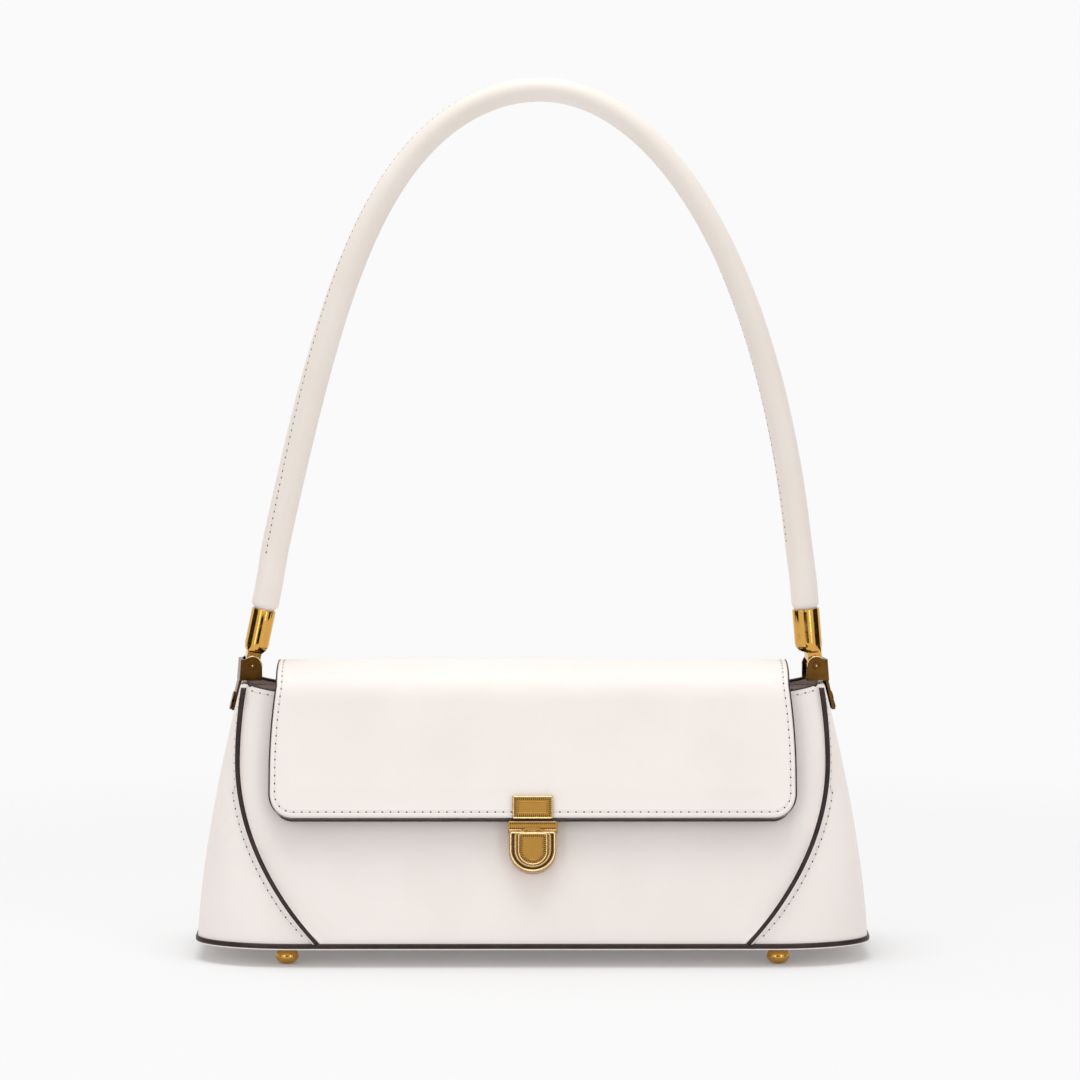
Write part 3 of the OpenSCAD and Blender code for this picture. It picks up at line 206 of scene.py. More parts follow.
def make(name, part, finish, body, replaces=(), rim=None, sharp=None):
    """Piece from points and faces, hung on the CAD body named by body. If body is a tuple (a, b, start, end)
    naming two bodies, the piece is left where it stands and hung on neither.
    """
    points, faces = part
    mesh = bpy.data.meshes.new(name)
    mesh.from_pydata((np.asarray(points)*MM).tolist(), [], faces)
    mesh.materials.append(MATERIALS[finish])
    if rim is not None:
        mesh.attributes.new("rim", "FLOAT", "POINT").data.foreach_set("value", rim.astype(np.float32))
    work = bmesh.new()
    work.from_mesh(mesh)
    bmesh.ops.recalc_face_normals(work, faces=work.faces)
    work.to_mesh(mesh)
    work.free()
    mesh.polygons.foreach_set("use_smooth", [True]*len(mesh.polygons))
    if sharp:
        mesh.set_sharp_from_angle(angle=math.radians(sharp))
    obj = add_object(name, mesh)
    if isinstance(body, str):
        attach(obj, body)
    else:
        a, b, start, end = body
        tuple(MM*v for v in start)
        tuple(MM*v for v in end)
        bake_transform(obj)
    SLOTS.get(finish, finish)
    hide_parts(*replaces)


def joined(parts):
    """One part made of several."""
    points, faces, count = [], [], 0
    for p, f in parts:
        points.append(p)
        faces += [[count + i for i in face] for face in f]
        count += len(p)
    return np.vstack(points), faces


def mirrored(part, axis):
    """Part turned into its mirror image along an axis."""
    points = part[0].copy()
    points[:, axis] *= -1
    return points, part[1]


def ball(radius, rings=5, sides=8):
    """Points and faces of a small ball, used many times over."""
    turn = np.linspace(0.02, math.pi - 0.02, rings)[:, None]
    round_ = np.linspace(0, 2*math.pi, sides, endpoint=False)
    points = [np.cos(turn) + 0*round_, np.sin(turn)*np.cos(round_), np.sin(turn)*np.sin(round_)]
    return tube(np.stack(points, -1)*np.array(radius))


def scatter(shape, places, along, across, normal):
    """Copies of a shape at places, its X, Y and Z turned to along, across and normal."""
    points, faces = shape
    placed = places[:, None] + sum(points[None, :, k, None]*axis[:, None]
        for k, axis in enumerate((along, across, normal)))
    first = range(0, len(places)*len(points), len(points))
    return placed.reshape(-1, 3), [[base + i for i in f] for base in first for f in faces]


def stitches(name, path, normal, body, pitch=STITCH_PITCH, slant=5.0, radius=0.27, closed=False):
    """Topstitching along a path on the leather: threads that dip into holes, whose shade is painted as dark
    flat marks.
    """
    path, normal = np.asarray(path, float), unit(np.asarray(normal, float))
    if closed:
        path, normal = np.vstack([path, path[:1]]), np.vstack([normal, normal[:1]])
    along = distances(path)
    total = along[-1]
    count = max(2, int(round(total/pitch)))
    holes = np.linspace(0, total, count + 1)[:count if closed else None]
    middle = (np.arange(count) + 0.5)*total/count

    def at(s, data):
        return np.stack([np.interp(s, along, data[:, k]) for k in range(3)], 1)

    def axes(s):
        t = unit(at(np.minimum(s + 0.2, total), path) - at(np.maximum(s - 0.2, 0), path))
        n = at(s, normal)
        n = unit(n - (n*t).sum(1, keepdims=True)*t)
        return t, np.cross(n, t), n

    t, b, n = axes(middle)
    lean = np.radians(slant + rng.normal(0, 1.5, len(middle)))[:, None]
    t, b = t*np.cos(lean) + b*np.sin(lean), b*np.cos(lean) - t*np.sin(lean)
    thread = ball((total/count/2 - 0.34, radius, radius*0.7), rings=7, sides=6)
    make(name + "_thread", scatter(thread, at(middle, path) - n*0.04, t, b, n), "thread", body)
    t, b, n = axes(holes)
    # painted shade: a dark flat mark on the leather at each stitch hole
    stitch_hole_shade = ball((0.42, 0.27, 0.08))
    make(name + "_holes", scatter(stitch_hole_shade, at(holes, path) + n*0.03, t, b, n), "stitch_hole_shade", body)


# Materials

def material(name, build):
    m = bpy.data.materials.new(name)
    m.use_nodes = True
    build(Nodes(m.node_tree), m.node_tree.nodes["Principled BSDF"])
    return m


class Nodes:
    """Short forms for the nodes that the finishes are made of."""

    def __init__(self, tree):
        self.tree = tree

    def add(self, kind, inputs=None, **options):
        node = self.tree.nodes.new("ShaderNode" + kind)
        for key, value in options.items():
            setattr(node, key, value)
        for key, value in (inputs or {}).items():
            self.set(node.inputs[key], value)
        return node

    def set(self, socket, value):
        if isinstance(value, bpy.types.NodeSocket):
            self.tree.links.new(value, socket)
        else:
            socket.default_value = value

    def place(self, scale=(1, 1, 1)):
        spot = self.add("TexCoord").outputs["Object"]
        return self.add("Mapping", {"Vector": spot, "Scale": scale}).outputs["Vector"]

    def noise(self, scale, detail=3.0, rough=0.5, stretch=(1, 1, 1)):
        inputs = {"Vector": self.place(stretch), "Scale": scale, "Detail": detail, "Roughness": rough}
        return self.add("TexNoise", inputs).outputs["Fac"]

    def cells(self, scale, feature="F1"):
        inputs = {"Vector": self.place(), "Scale": scale}
        return self.add("TexVoronoi", inputs, feature=feature).outputs["Distance"]

    def wave(self, scale, direction, distortion=0.0):
        inputs = {"Vector": self.place(), "Scale": scale, "Distortion": distortion}
        return self.add("TexWave", inputs, bands_direction=direction).outputs["Fac"]

    def math(self, operation, a, b=0.0, c=0.0, clamp=False):
        node = self.add("Math", operation=operation, use_clamp=clamp)
        for k, value in enumerate((a, b, c)):
            self.set(node.inputs[k], value)
        return node.outputs[0]

    def spread(self, value, low, high, to_low=0.0, to_high=1.0):
        node = self.add("MapRange", interpolation_type="SMOOTHSTEP")
        for k, v in enumerate((value, low, high, to_low, to_high)):
            self.set(node.inputs[k], v)
        return node.outputs[0]

    def mix(self, share, a, b):
        node = self.add("Mix", data_type="RGBA", blend_type="MIX")
        self.set(node.inputs[0], share)
        self.set(node.inputs[6], a)
        self.set(node.inputs[7], b)
        return node.outputs[2]

    def bump(self, height, distance, strength=1.0, under=None):
        inputs = {"Height": height, "Distance": distance, "Strength": strength}
        if under is not None:
            inputs["Normal"] = under
        return self.add("Bump", inputs).outputs["Normal"]

    def shade(self, shader, **inputs):
        for key, value in inputs.items():
            self.set(shader.inputs[key.replace("_", " ")], value)


def rgb(r, g, b):
    """Linear colour from an sRGB one of 0 to 255."""
    return tuple(((v/255 + 0.055)/1.055)**2.4 if v > 10 else v/255/12.92 for v in (r, g, b)) + (1.0,)


def leather(light, dark, grain=1.0, gloss=0.46):
    """Smooth coated leather: faint cloudy tone, grain, fine pores, and a pressed line beside each edge."""
    def build(n, shader):
        cloud = n.noise(22, 4, 0.55)
        colour = n.mix(n.spread(cloud, 0.35, 0.7), light, dark)
        pore = n.spread(n.cells(1500), 0.02, 0.25)
        colour = n.mix(n.math("MULTIPLY_ADD", pore, -0.05, 0.05), colour, rgb(150, 130, 118))
        fine = n.cells(1150, "SMOOTH_F1")
        broad = n.noise(420, 3, 0.6)
        rim = n.add("Attribute", attribute_name="rim").outputs["Fac"]
        away = n.math("ABSOLUTE", n.math("SUBTRACT", rim, 2.5))
        groove = n.spread(away, 0.0, 0.9)
        height = n.math("MULTIPLY_ADD", broad, 0.5*grain, n.math("MULTIPLY", fine, 0.55*grain))
        normal = n.bump(height, 0.00006, 0.55)
        normal = n.bump(n.noise(60, 2), 0.0004, 0.10, normal)
        normal = n.bump(groove, 0.00022, 0.8, normal)
        n.shade(shader, Base_Color=colour, Normal=normal, Specular_IOR_Level=0.42, Sheen_Weight=0.04,
            Sheen_Roughness=0.4, Roughness=n.spread(n.noise(300, 3), 0.3, 0.7, gloss - 0.05, gloss + 0.09))
    return build


def paint(light, dark):
    """Thick edge paint: dark, a little glossy, with the slight waves of a brushed coat."""
    def build(n, shader):
        n.shade(shader, Base_Color=n.mix(n.spread(n.noise(160, 3), 0.35, 0.7), light, dark),
            Roughness=n.spread(n.noise(500, 2), 0.3, 0.7, 0.38, 0.52), Specular_IOR_Level=0.3,
            Normal=n.bump(n.noise(700, 2), 0.00008, 0.5))
    return build


def metal(light, dark, rough, recess_shade=0.5, scratch=0.3, cloud=0.12):
    """Plated metal with softened edges and faint brushing. Its colour is darkened in its recesses by ambient
    occlusion, which is painted shade.
    """
    def build(n, shader):
        soft = n.add("Bevel", {"Radius": 0.00022}, samples=6).outputs["Normal"]
        # painted shade: ambient occlusion darkens the colour in the recesses
        shade = n.add("AmbientOcclusion", {"Distance": 0.0018}, samples=6).outputs["AO"]
        painted_recess_shade = n.spread(shade, 0.35, 0.95, recess_shade, 0.0)
        patch = n.spread(n.noise(260, 4, 0.6), 0.35, 0.75, 0.0, cloud)
        colour = n.mix(n.math("ADD", painted_recess_shade, patch, clamp=True), light, dark)
        lines = n.noise(2200, 2, 0.5, (0.08, 1, 1))
        normal = n.bump(lines, 0.00001, scratch, soft)
        normal = n.bump(n.noise(900, 3), 0.00002, scratch, normal)
        n.shade(shader, Base_Color=colour, Metallic=1.0, Normal=normal,
            Roughness=n.spread(n.noise(420, 4), 0.3, 0.75, rough - 0.05, rough + 0.1))
    return build


def cloth(light, dark, scale, rough=0.85, depth=0.00012):
    """Woven cloth or tape: crossing threads that also show in the colour."""
    def build(n, shader):
        warp, weft = n.wave(scale, "X"), n.wave(scale, "Y")
        rise = n.wave(scale, "Z")
        weave = n.math("MAXIMUM", n.math("MAXIMUM", warp, weft), rise)
        colour = n.mix(n.math("MULTIPLY", weave, 0.6), dark, light)
        colour = n.mix(n.spread(n.noise(90, 3), 0.35, 0.7, 0.0, 0.3), colour, dark)
        n.shade(shader, Base_Color=colour, Roughness=rough, Sheen_Weight=0.25, Specular_IOR_Level=0.25,
            Normal=n.bump(weave, depth, 0.7, n.bump(n.noise(1400, 3), 0.00006, 0.5)))
    return build


def suede(light, dark):
    def build(n, shader):
        nap = n.noise(1300, 4, 0.7)
        colour = n.mix(n.spread(n.noise(70, 4), 0.3, 0.7), light, dark)
        colour = n.mix(n.math("MULTIPLY", nap, 0.4), colour, dark)
        n.shade(shader, Base_Color=colour, Roughness=0.95, Sheen_Weight=0.5, Sheen_Roughness=0.5,
            Specular_IOR_Level=0.15, Normal=n.bump(nap, 0.00015, 0.8))
    return build


def board(light, dark):
    def build(n, shader):
        fibre = n.noise(600, 5, 0.7, (0.3, 1, 1))
        n.shade(shader, Base_Color=n.mix(n.spread(fibre, 0.3, 0.7), light, dark), Roughness=0.9,
            Normal=n.bump(fibre, 0.0001, 0.6))
    return build


def twist(light, dark, scale):
    """Twisted cord or thread."""
    def build(n, shader):
        ply = n.wave(scale, "DIAGONAL", distortion=1.0)
        n.shade(shader, Base_Color=n.mix(n.math("MULTIPLY", ply, 0.7), dark, light), Roughness=0.7,
            Sheen_Weight=0.2, Normal=n.bump(ply, 0.00008, 0.7, n.bump(n.noise(2500, 2), 0.00003, 0.5)))
    return build


WHITE, WARM = rgb(245, 238, 234), rgb(242, 234, 230)
MATERIALS = {name: material(name, build) for name, build in {
    "leather": leather(WHITE, WARM),
    "leather_handle": leather(rgb(243, 235, 228), rgb(239, 230, 222), 0.8, 0.5),
    "edge_paint": paint(rgb(52, 36, 33), rgb(36, 24, 22)),
    "thread": twist(rgb(250, 246, 242), rgb(226, 218, 211), 900),
    # painted shade: the dark colour of the stitch holes
    "stitch_hole_shade": paint(rgb(70, 60, 57), rgb(46, 39, 36)),
    "suede": suede(rgb(96, 70, 56), rgb(70, 50, 40)),
    "lining": cloth(rgb(104, 80, 66), rgb(70, 52, 43), 700),
    "zip_tape": cloth(rgb(142, 118, 106), rgb(96, 76, 68), 520),
    "zip_coil": paint(rgb(84, 68, 60), rgb(52, 40, 36)),
    "gold": metal(rgb(186, 140, 68), rgb(62, 36, 14), 0.2, 0.9, 0.03, 0.05),
    "polished_gold": metal(rgb(216, 166, 84), rgb(120, 80, 34), 0.1, 0.3, 0.03, 0.03),
    # painted highlight: a lighter copy of gold for rims and edges that catch the light
    "gold_painted_highlight": metal(rgb(252, 222, 168), rgb(170, 124, 66), 0.24, 0.4, 0.1),
    "antique_gold": metal(rgb(108, 74, 32), rgb(38, 23, 11), 0.26, 0.9, 0.2, 0.3),
    # dark finish for engraved marks, and painted shade in the gap round the lock's button
    "patina_and_painted_shade": paint(rgb(40, 16, 12), rgb(24, 9, 8)),
    "steel": metal(rgb(190, 188, 184), rgb(90, 88, 84), 0.3, 0.5, 0.3),
    "board": board(rgb(176, 146, 104), rgb(140, 112, 78)),
    "cord": twist(rgb(214, 196, 166), rgb(160, 138, 106), 420),
}.items()}
SLOTS = {"thread": "leather", "stitch_hole_shade": "leather", "leather_handle": "leather", "suede": "lining",
    "gold_painted_highlight": "gold", "polished_gold": "gold", "patina_and_painted_shade": "antique_gold"}


# Body leather

def side_line(corner_point, along, to, length=0.8, steps=5):
    """Rounded fold from a straight run that comes to a corner to one that leaves it."""
    t = np.linspace(0, 1, steps)[:, None]
    a, b = corner_point - along*length, corner_point + to*length
    return (1 - t)**2*a + 2*t*(1 - t)*corner_point + t*t*b


def meet(h, root, out, offset):
    """Point where a face of the fin, which starts beside its root, crosses the body's outline."""
    s = 0.0
    for _ in range(8):
        p = root + offset + out*s
        s += (p[1] - front_y(h, p[0]))/(-out[1])
    return root + offset + out*s


PANEL_SHARES = np.r_[np.linspace(1, 0.9, 9)[:-1], np.linspace(0.9, 0, 22)]
ROW_SHARES = np.linspace(0, 1, 64)**0.95


def panel_level(v):
    """Half of the panel's outer and inner line on one row, from the seam's tip to the middle."""
    level = BASE_T + (BODY_H - BASE_T)*v
    root, out, side, reach, layer = fin(level)
    foot = meet(level, root, out, side*layer)
    tip = root + side*layer + out*reach
    run = unit(np.array([-1.0, front_y(level, foot[0] - 1) - front_y(level, foot[0])]))
    fold = side_line(foot, -out, run)
    face = tip + (fold[0] - tip)*np.linspace(0, 1, 4)[:-1, None]
    x = fold[-1][0]*PANEL_SHARES[1:]

    def height(x):
        return BASE_T + (panel_top(x) - BASE_T)*v

    puff = 0.25*smooth((fold[-1][0] - x)/14)*math.sin(math.pi*v)**0.5*(1 - 0.9*smooth(1 - x/16))
    outer = [[p[0], p[1], height(p[0])] for p in np.vstack([face, fold])]
    outer += [[a, front_y(height(a), a) - b, height(a)] for a, b in zip(x, puff)]
    outer = np.array(outer)
    inner = outer.copy()
    split = len(face) + len(fold) - 1
    inner[:split, :2] = root + out*reach*(1 - np.arange(split)/split)[:, None]
    inner[split:, 1] = front_y(outer[split:, 2], outer[split:, 0], LEATHER_T)
    return outer, inner


def panel_part():
    outer, inner = [], []
    for v in ROW_SHARES:
        for half, rows in zip(panel_level(v), (outer, inner)):
            rows.append(np.vstack([half*[-1, 1, 1], half[::-1][1:]]))
    lift = [0, 0, FOOT_H]
    return thick(np.array(outer) + lift, np.array(inner) + lift)


def gusset_level(v):
    """Outer and inner line of the right gusset on one row, from seam to seam."""
    h = BASE_T + (GUSSET_H - BASE_T)*v
    root, out, side, reach, layer = fin(h)
    foot = meet(h, root, out, -side*layer)
    tip = root - side*layer + out*reach
    rx, ry = corner(h)
    mx, my = end_x(h) - rx, side_y(h) - ry

    def outline(x0, inset=0.0):
        ix, iy = corner(h, inset)
        u = np.clip((x0 - mx)/ix, -9, 1)
        start = math.acos(u) if u > 0 else math.pi/2 + (mx - x0)/ix
        turn = start*(1 - np.linspace(0, 1, 26))
        straight, bent = turn > math.pi/2, np.minimum(turn, math.pi/2)
        x = np.where(straight, mx - (turn - math.pi/2)*ix, mx + ix*np.cos(bent))
        y = np.where(straight, -my - iy, -my - iy*np.sin(bent))
        return np.stack([x, y], 1)

    line = outline(foot[0] + 0.8)
    fold = side_line(foot, -out, unit(line[1] - line[0]))
    face = tip + (fold[0] - tip)*np.linspace(0, 1, 4)[:-1, None]
    outer = np.vstack([face, fold, line[1:]])
    split = len(face) + len(fold) - 1
    inner_line = outline(root[0] + 0.4, LEATHER_T)
    inner = np.vstack([root + out*reach*(1 - np.arange(split)/split)[:, None], inner_line])
    flat = np.linspace(0, 1, 12)[1:-1, None]
    dent = 0.35*math.sin(math.pi*v)

    def whole(half):
        back = half[::-1]*[1, -1]
        middle = half[-1] + (back[0] - half[-1])*flat
        middle[:, 0] -= dent*np.sin(math.pi*flat[:, 0])
        points = np.vstack([half, middle, back])
        return np.c_[points, np.full(len(points), h + FOOT_H)]

    return whole(outer), whole(inner)


def build_body():
    panel = panel_part()
    rows = np.array([gusset_level(v) for v in ROW_SHARES])
    gusset = thick(rows[:, 0], rows[:, 1])
    for name, part in (("front_panel", panel), ("back_panel", mirrored(panel, 1)),
            ("right_gusset", gusset), ("left_gusset", mirrored(gusset, 0))):
        make(name + "_leather", part, "leather", "bag", [name], sharp=50)


def seam_paint():
    """Dark coat over the two layers of one seam, and the line of its stitches on the gusset's side."""
    rings, path, normal = [], [], []
    for h in BASE_T - 0.2 + (GUSSET_H + 0.2 - BASE_T)*np.linspace(0, 1, 90):
        root, out, side, reach, layer = fin(max(h, BASE_T))
        tip = root + out*reach
        w = layer*(0.8 + 0.22*h/BODY_H)
        half = [(-w, -0.75), (-w, -0.1), (-w*0.86, 0.22), (-w*0.5, 0.4)]
        shape = half + [(0, 0.45)] + [(-a, b) for a, b in half[::-1]]
        rings.append([[*(tip + side*a + out*b), h + FOOT_H] for a, b in shape])
        if 5 < h < 98:
            x = meet(h, root, out, -side*layer)[0] + 0.9
            slope = front_y(h, x + 0.5) - front_y(h, x - 0.5)
            hidden = smooth((h - SEAM_HIDDEN_H)/4)
            low = np.array([x, front_y(h, x)])
            high = root - side*(layer + 0.02) + out*reach*0.5
            path.append([*(low + (high - low)*hidden), h + FOOT_H])
            normal.append([*(unit(np.array([slope, -1]))*(1 - hidden) - side*hidden), 0.2])
    return tube(rings), np.array(path), np.array(normal)


def build_seams():
    part, path, normal = seam_paint()
    both = joined([part, mirrored(part, 0)])
    make("front_seam_paint", both, "edge_paint", "bag", ["front_seam_edges"])
    make("back_seam_paint", mirrored(both, 1), "edge_paint", "bag", ["back_seam_edges"])
    for face, sy in (("front", 1), ("back", -1)):
        for end, sx in (("right", 1), ("left", -1)):
            turn = np.array([sx, sy, 1])
            stitches("seam_%s_%s" % (face, end), path*turn, normal*turn, "bag")


def build_rims():
    """Painted top edges of the panels, and the stitches below the front one."""
    x = np.linspace(-1, 1, 161)*(fin(BODY_H)[0][0] - 1.2)
    top = panel_top(x)
    outer, inner = front_y(top, x), front_y(top, x, LEATHER_T)
    mid, half = (outer + inner)/2, (inner - outer)/2 + 0.06
    slope = np.gradient(top, x)
    left = [(-1, -0.7), (-1, 0.05), (-0.75, 0.3), (-0.3, 0.42)]
    shape = left + [(-a, b) for a, b in left[::-1]]
    lift = 1/np.sqrt(1 + slope**2)
    lines = [[x - slope*lift*b, mid + a*half, top + lift*b + FOOT_H] for a, b in shape]
    rim = tube(np.array(lines).transpose(2, 0, 1))
    make("front_rim_paint", rim, "edge_paint", "bag", ["front_top_edge"])
    make("back_rim_paint", mirrored(rim, 1), "edge_paint", "bag", ["back_top_edge"])
    x = np.linspace(-112.4, 112.4, 200)
    h = panel_top(x) - 1.9
    path = np.stack([x, front_y(h, x), h + FOOT_H], 1)
    stitches("front_rim", path, np.tile([0, -1, 0.3], (len(x), 1)), "bag")


def build_base():
    """Base panel and the painted rim round it."""
    t = np.linspace(0, math.pi/2, 24)
    rx, ry = CORNER_X, CORNER_Y
    mx, my = BASE_L/2 - rx, BASE_W/2 - ry
    quarter = np.stack([mx + rx*np.cos(t), my + ry*np.sin(t)], 1)
    away = np.stack([np.cos(t)/rx, np.sin(t)/ry], 1)
    line, outs = (np.vstack([q, q[::-1]*[-1, 1], -q, q[::-1]*[1, -1]]) for q in (quarter, away))
    outs = unit(outs)

    def ring(out, z):
        return np.c_[line + outs*out, np.full(len(line), z)]

    coat = [(-1.2, 9.42), (0.1, 9.46), (0.62, 9.36), (0.85, 9.0), (0.9, 8.5), (0.88, 8.0), (0.75, 7.62),
        (0.4, 7.5), (-1.2, 7.5)]
    rings = np.array([ring(a, z) for a, z in coat]).transpose(1, 0, 2)
    make("base_rim_paint", tube(rings, closed=True), "edge_paint", "bag", ["base_edge"])
    steps = [(-60, 7.02), (-30, 7.0), (-8, 7.0), (-1, 7.0), (0.2, 7.02), (0.55, 7.12), (0.68, 7.34),
        (0.6, 7.6), (0.2, 7.75), (-1, 9.38), (-8, 9.4), (-30, 9.4), (-60, 9.4)]
    grid = []
    for a, z in steps:
        if a < -5:
            grid.append(np.c_[line*max(0.02, 1 + a/62), np.full(len(line), z)])
        else:
            grid.append(ring(a, z))
    make("base_leather", tube(grid), "leather", "bag", ["base_panel"])


def build_lining():
    """Cloth bag inside the leather, with a few soft creases."""
    t = np.linspace(0, math.pi/2, 10)
    flat = np.linspace(-1, 1, 26)[1:-1]
    ends = np.linspace(-1, 1, 8)[1:-1]

    def ring(h, inset):
        rx, ry = corner(h, inset)
        mx, my = end_x(h) - corner(h)[0], side_y(h) - corner(h)[1]
        q = np.stack([mx + rx*np.cos(t), my + ry*np.sin(t)], 1)
        front = np.stack([flat*q[-1][0], -q[-1][1] + 0*flat], 1)
        side = np.stack([q[0][0] + 0*ends, ends*q[0][1]], 1)
        loop = np.vstack([q, front[::-1]*[1, -1], q[::-1]*[-1, 1], side[::-1]*[-1, 1],
            -q, front, q[::-1]*[1, -1], side])
        crease = np.sin(loop[:, 0]*0.21 + h*0.11)*np.sin(loop[:, 1]*0.3 + h*0.17)
        crease *= 0.3*math.sin(math.pi*min(1, max(0, h/98)))
        return np.c_[loop*(1 + crease/60)[:, None], np.full(len(loop), h + FOOT_H)]

    def floor(h, inset, shares):
        base = ring(h, inset)
        return [np.c_[base[:, :2]*s, base[:, 2]] for s in shares]

    wall = np.linspace(0, 1, 22)
    low, high, cloth_t = 6.85, 97.95, 0.8
    outside, inside = 4.0, 4.0 + cloth_t
    rings = floor(low, outside, (0.02, 0.5, 0.9)) + [ring(low + (high - low)*s, outside) for s in wall]
    rings += [ring(high - (high - low - cloth_t)*s, inside) for s in wall]
    rings += floor(low + cloth_t, inside, (0.9, 0.5, 0.02))
    make("lining_cloth", tube(rings), "lining", "bag", ["lining"], sharp=60)


# Flap

def flap_lines():
    """Outer line of the flap, from the foot of its tail to its front edge: points (y, h) and normals."""
    tail_h = np.linspace(TAIL_FOOT_H, TAIL_FOOT_H + TAIL_L, 12)
    tail = np.stack([side_y(tail_h) + TAIL_GAP + FLAP_LEATHER_T, tail_h], 1)
    t = np.linspace(0, 1, 40)
    top = bezier(FLAP_BACK, (18.35, 106.9), (9.175, 109.5), FLAP_TOP, t)
    front = bezier(FLAP_TOP, (-12.585, 109.5), (-21.85, 108.2), FLAP_FOLD, t)[1:]
    foot = resample([FLAP_FOLD, FLAP_FOOT], step=1.6)[1:]
    mid = np.vstack([top, front, foot])
    line = resample(np.vstack([tail, mid + line_normals(mid)*FLAP_T/2]), step=1.0)
    return line, line_normals(line)


def line_normals(line):
    d = unit(np.gradient(line, axis=0))
    return np.stack([d[:, 1], -d[:, 0]], 1)


LINE, NORMAL = flap_lines()
HINGE_ROW = int(np.argmax(LINE[:, 1] > HINGE_H))
TOP_ROW = np.argmax(LINE[:, 1])


def flap_half(k):
    """Half width of the flap at a row of its line. Its sides are drawn in behind and over the top."""
    if k <= TOP_ROW:
        return FLAP_HALF - FLAP_DRAW
    return FLAP_HALF - FLAP_DRAW*np.clip(1 + (LINE[k, 1] - DRAW_H)/DRAW_L, 0, 1)**2


def flap_rows():
    """Rows of the flap's line: (point, normal, half width, corner radius, distance from the end's edge)."""
    rows = []
    for k, (y, h) in enumerate(LINE):
        radius, drop = TAIL_CORNER, 99.0
        if k > TOP_ROW:
            radius, drop = FLAP_CORNER, h - FLAP_FOOT_H
            if drop < radius + 0.8:
                break
        elif k < HINGE_ROW:
            drop = h - TAIL_FOOT_H
        rows.append((LINE[k], NORMAL[k], flap_half(k), radius, drop))
    end, last = LINE[-1], rows[-1][0]
    for drop in (9.7, 8.6, 7.5, 6.4, 5.4, 4.5, 3.7, 3.0, 2.4, 1.9, 1.5, 1.1, 0.8, 0.6, EDGE):
        spot = end + (last - end)*drop/(last[1] - end[1])
        rows.append((spot, NORMAL[-1], FLAP_HALF, FLAP_CORNER, drop))
    return rows


ROWS = flap_rows()


def flap_outline(row):
    """Half width of a row's leather, which ends inside the flap's edge by EDGE."""
    half, radius, drop = row[2:]
    if drop >= radius:
        return half - EDGE
    r = radius - EDGE
    rise = min(r, radius - drop)
    return half - radius + math.sqrt(r*r - rise*rise)


def rim_distance(row, x):
    """Distance of a row's points from the flap's edge."""
    half, radius, drop = row[2:]
    x = np.abs(x)
    inside = np.minimum(half - x, drop)
    if drop < radius:
        rounded = radius - np.hypot(np.maximum(0, x - (half - radius)), radius - drop)
        inside = np.where(x > half - radius, rounded, inside)
    return inside


def flap_surface(first, outer_depth, inner_depth, puff=0.0):
    """Layer of the flap between two depths under its outer face, and its points' distances from the rim."""
    outer, inner, rims = [], [], []
    for row in ROWS[first:]:
        spot, normal, half, radius, drop = row
        w = flap_outline(row)
        edge = w - np.array([0, 0.25, 0.6, 1.2, 1.9, 2.5, 3.1, 4.2, 6, 9, 14])
        x = np.r_[edge, np.linspace(1, 0, 16)[1:]*(w - 14)]
        x = np.r_[-x[:-1], x[::-1]]
        rim = rim_distance(row, x)
        fall = 0.32*(1 - smooth((rim - EDGE)/0.9))
        near_end = 1 - smooth(1 - (drop - 2)/12) if drop < 40 else 1
        deep = outer_depth + fall - puff*smooth((rim - 3)/9)*near_end
        for depth, rows in ((deep, outer), (inner_depth + 0*x, inner)):
            rows.append(np.stack([x, spot[0] - normal[0]*depth, spot[1] - normal[1]*depth + FOOT_H], 1))
        rims.append(rim)
    rims = np.array(rims).ravel()
    return thick(np.array(outer), np.array(inner)), np.r_[rims, rims + 50]


def flap_edge_path(inset):
    """Loop round the flap and tail: points, outward directions, normals, and 1 where it is on the flap."""
    path = []

    def add(spot, normal, x, out_x, down, on_flap):
        d = np.array([-normal[1], normal[0]])
        path.append(([x, spot[0], spot[1] + FOOT_H], [out_x, d[0]*down, d[1]*down], [0, *normal], on_flap))

    tail, r = ROWS[0], TAIL_CORNER
    for a in np.radians(np.linspace(90, 0, 7)):
        spot = tail[0] + unit(LINE[6] - LINE[0])*(r - (r - inset)*math.sin(a))
        add(spot, tail[1], tail[2] - r + (r - inset)*math.cos(a), math.cos(a), math.sin(a), 0.0)
    for spot, normal, half, radius, drop in ROWS:
        if drop > radius:
            add(spot, normal, half - inset, 1.0, 0.0, 0.0 if radius == TAIL_CORNER and drop < 23 else 1.0)
    end, last, r = LINE[-1], LINE[-12], FLAP_CORNER
    for a in np.radians(np.linspace(0, 90, 19)):
        spot = end + (last - end)*(r - (r - inset)*math.sin(a))/(last[1] - end[1])
        add(spot, NORMAL[-1], FLAP_HALF - r + (r - inset)*math.cos(a), math.cos(a), -math.sin(a), 1.0)
    right = [np.array([p[k] for p in path], float) for k in range(4)]

    def bridge(row):
        p, e, n, on_flap = (values[row] for values in right)
        x = np.linspace(p[0], -p[0], 120)[1:-1]
        same = np.ones((len(x), 1))
        return [np.c_[x, same*p[1:]], same*e*[0, 1, 1], same*n, np.full(len(x), on_flap)]

    foot, head = bridge(-1), bridge(0)
    flip = np.array([-1, 1, 1])
    left = [values[::-1]*turn for values, turn in zip(right, (flip, flip, 1, 1))]
    return [np.concatenate([right[k], foot[k], left[k], head[k][::-1]]) for k in range(4)]


HINGE_BEND = ("bag", "flap", (0, 19.2, 108.75), (0, 15.2, 113.0))


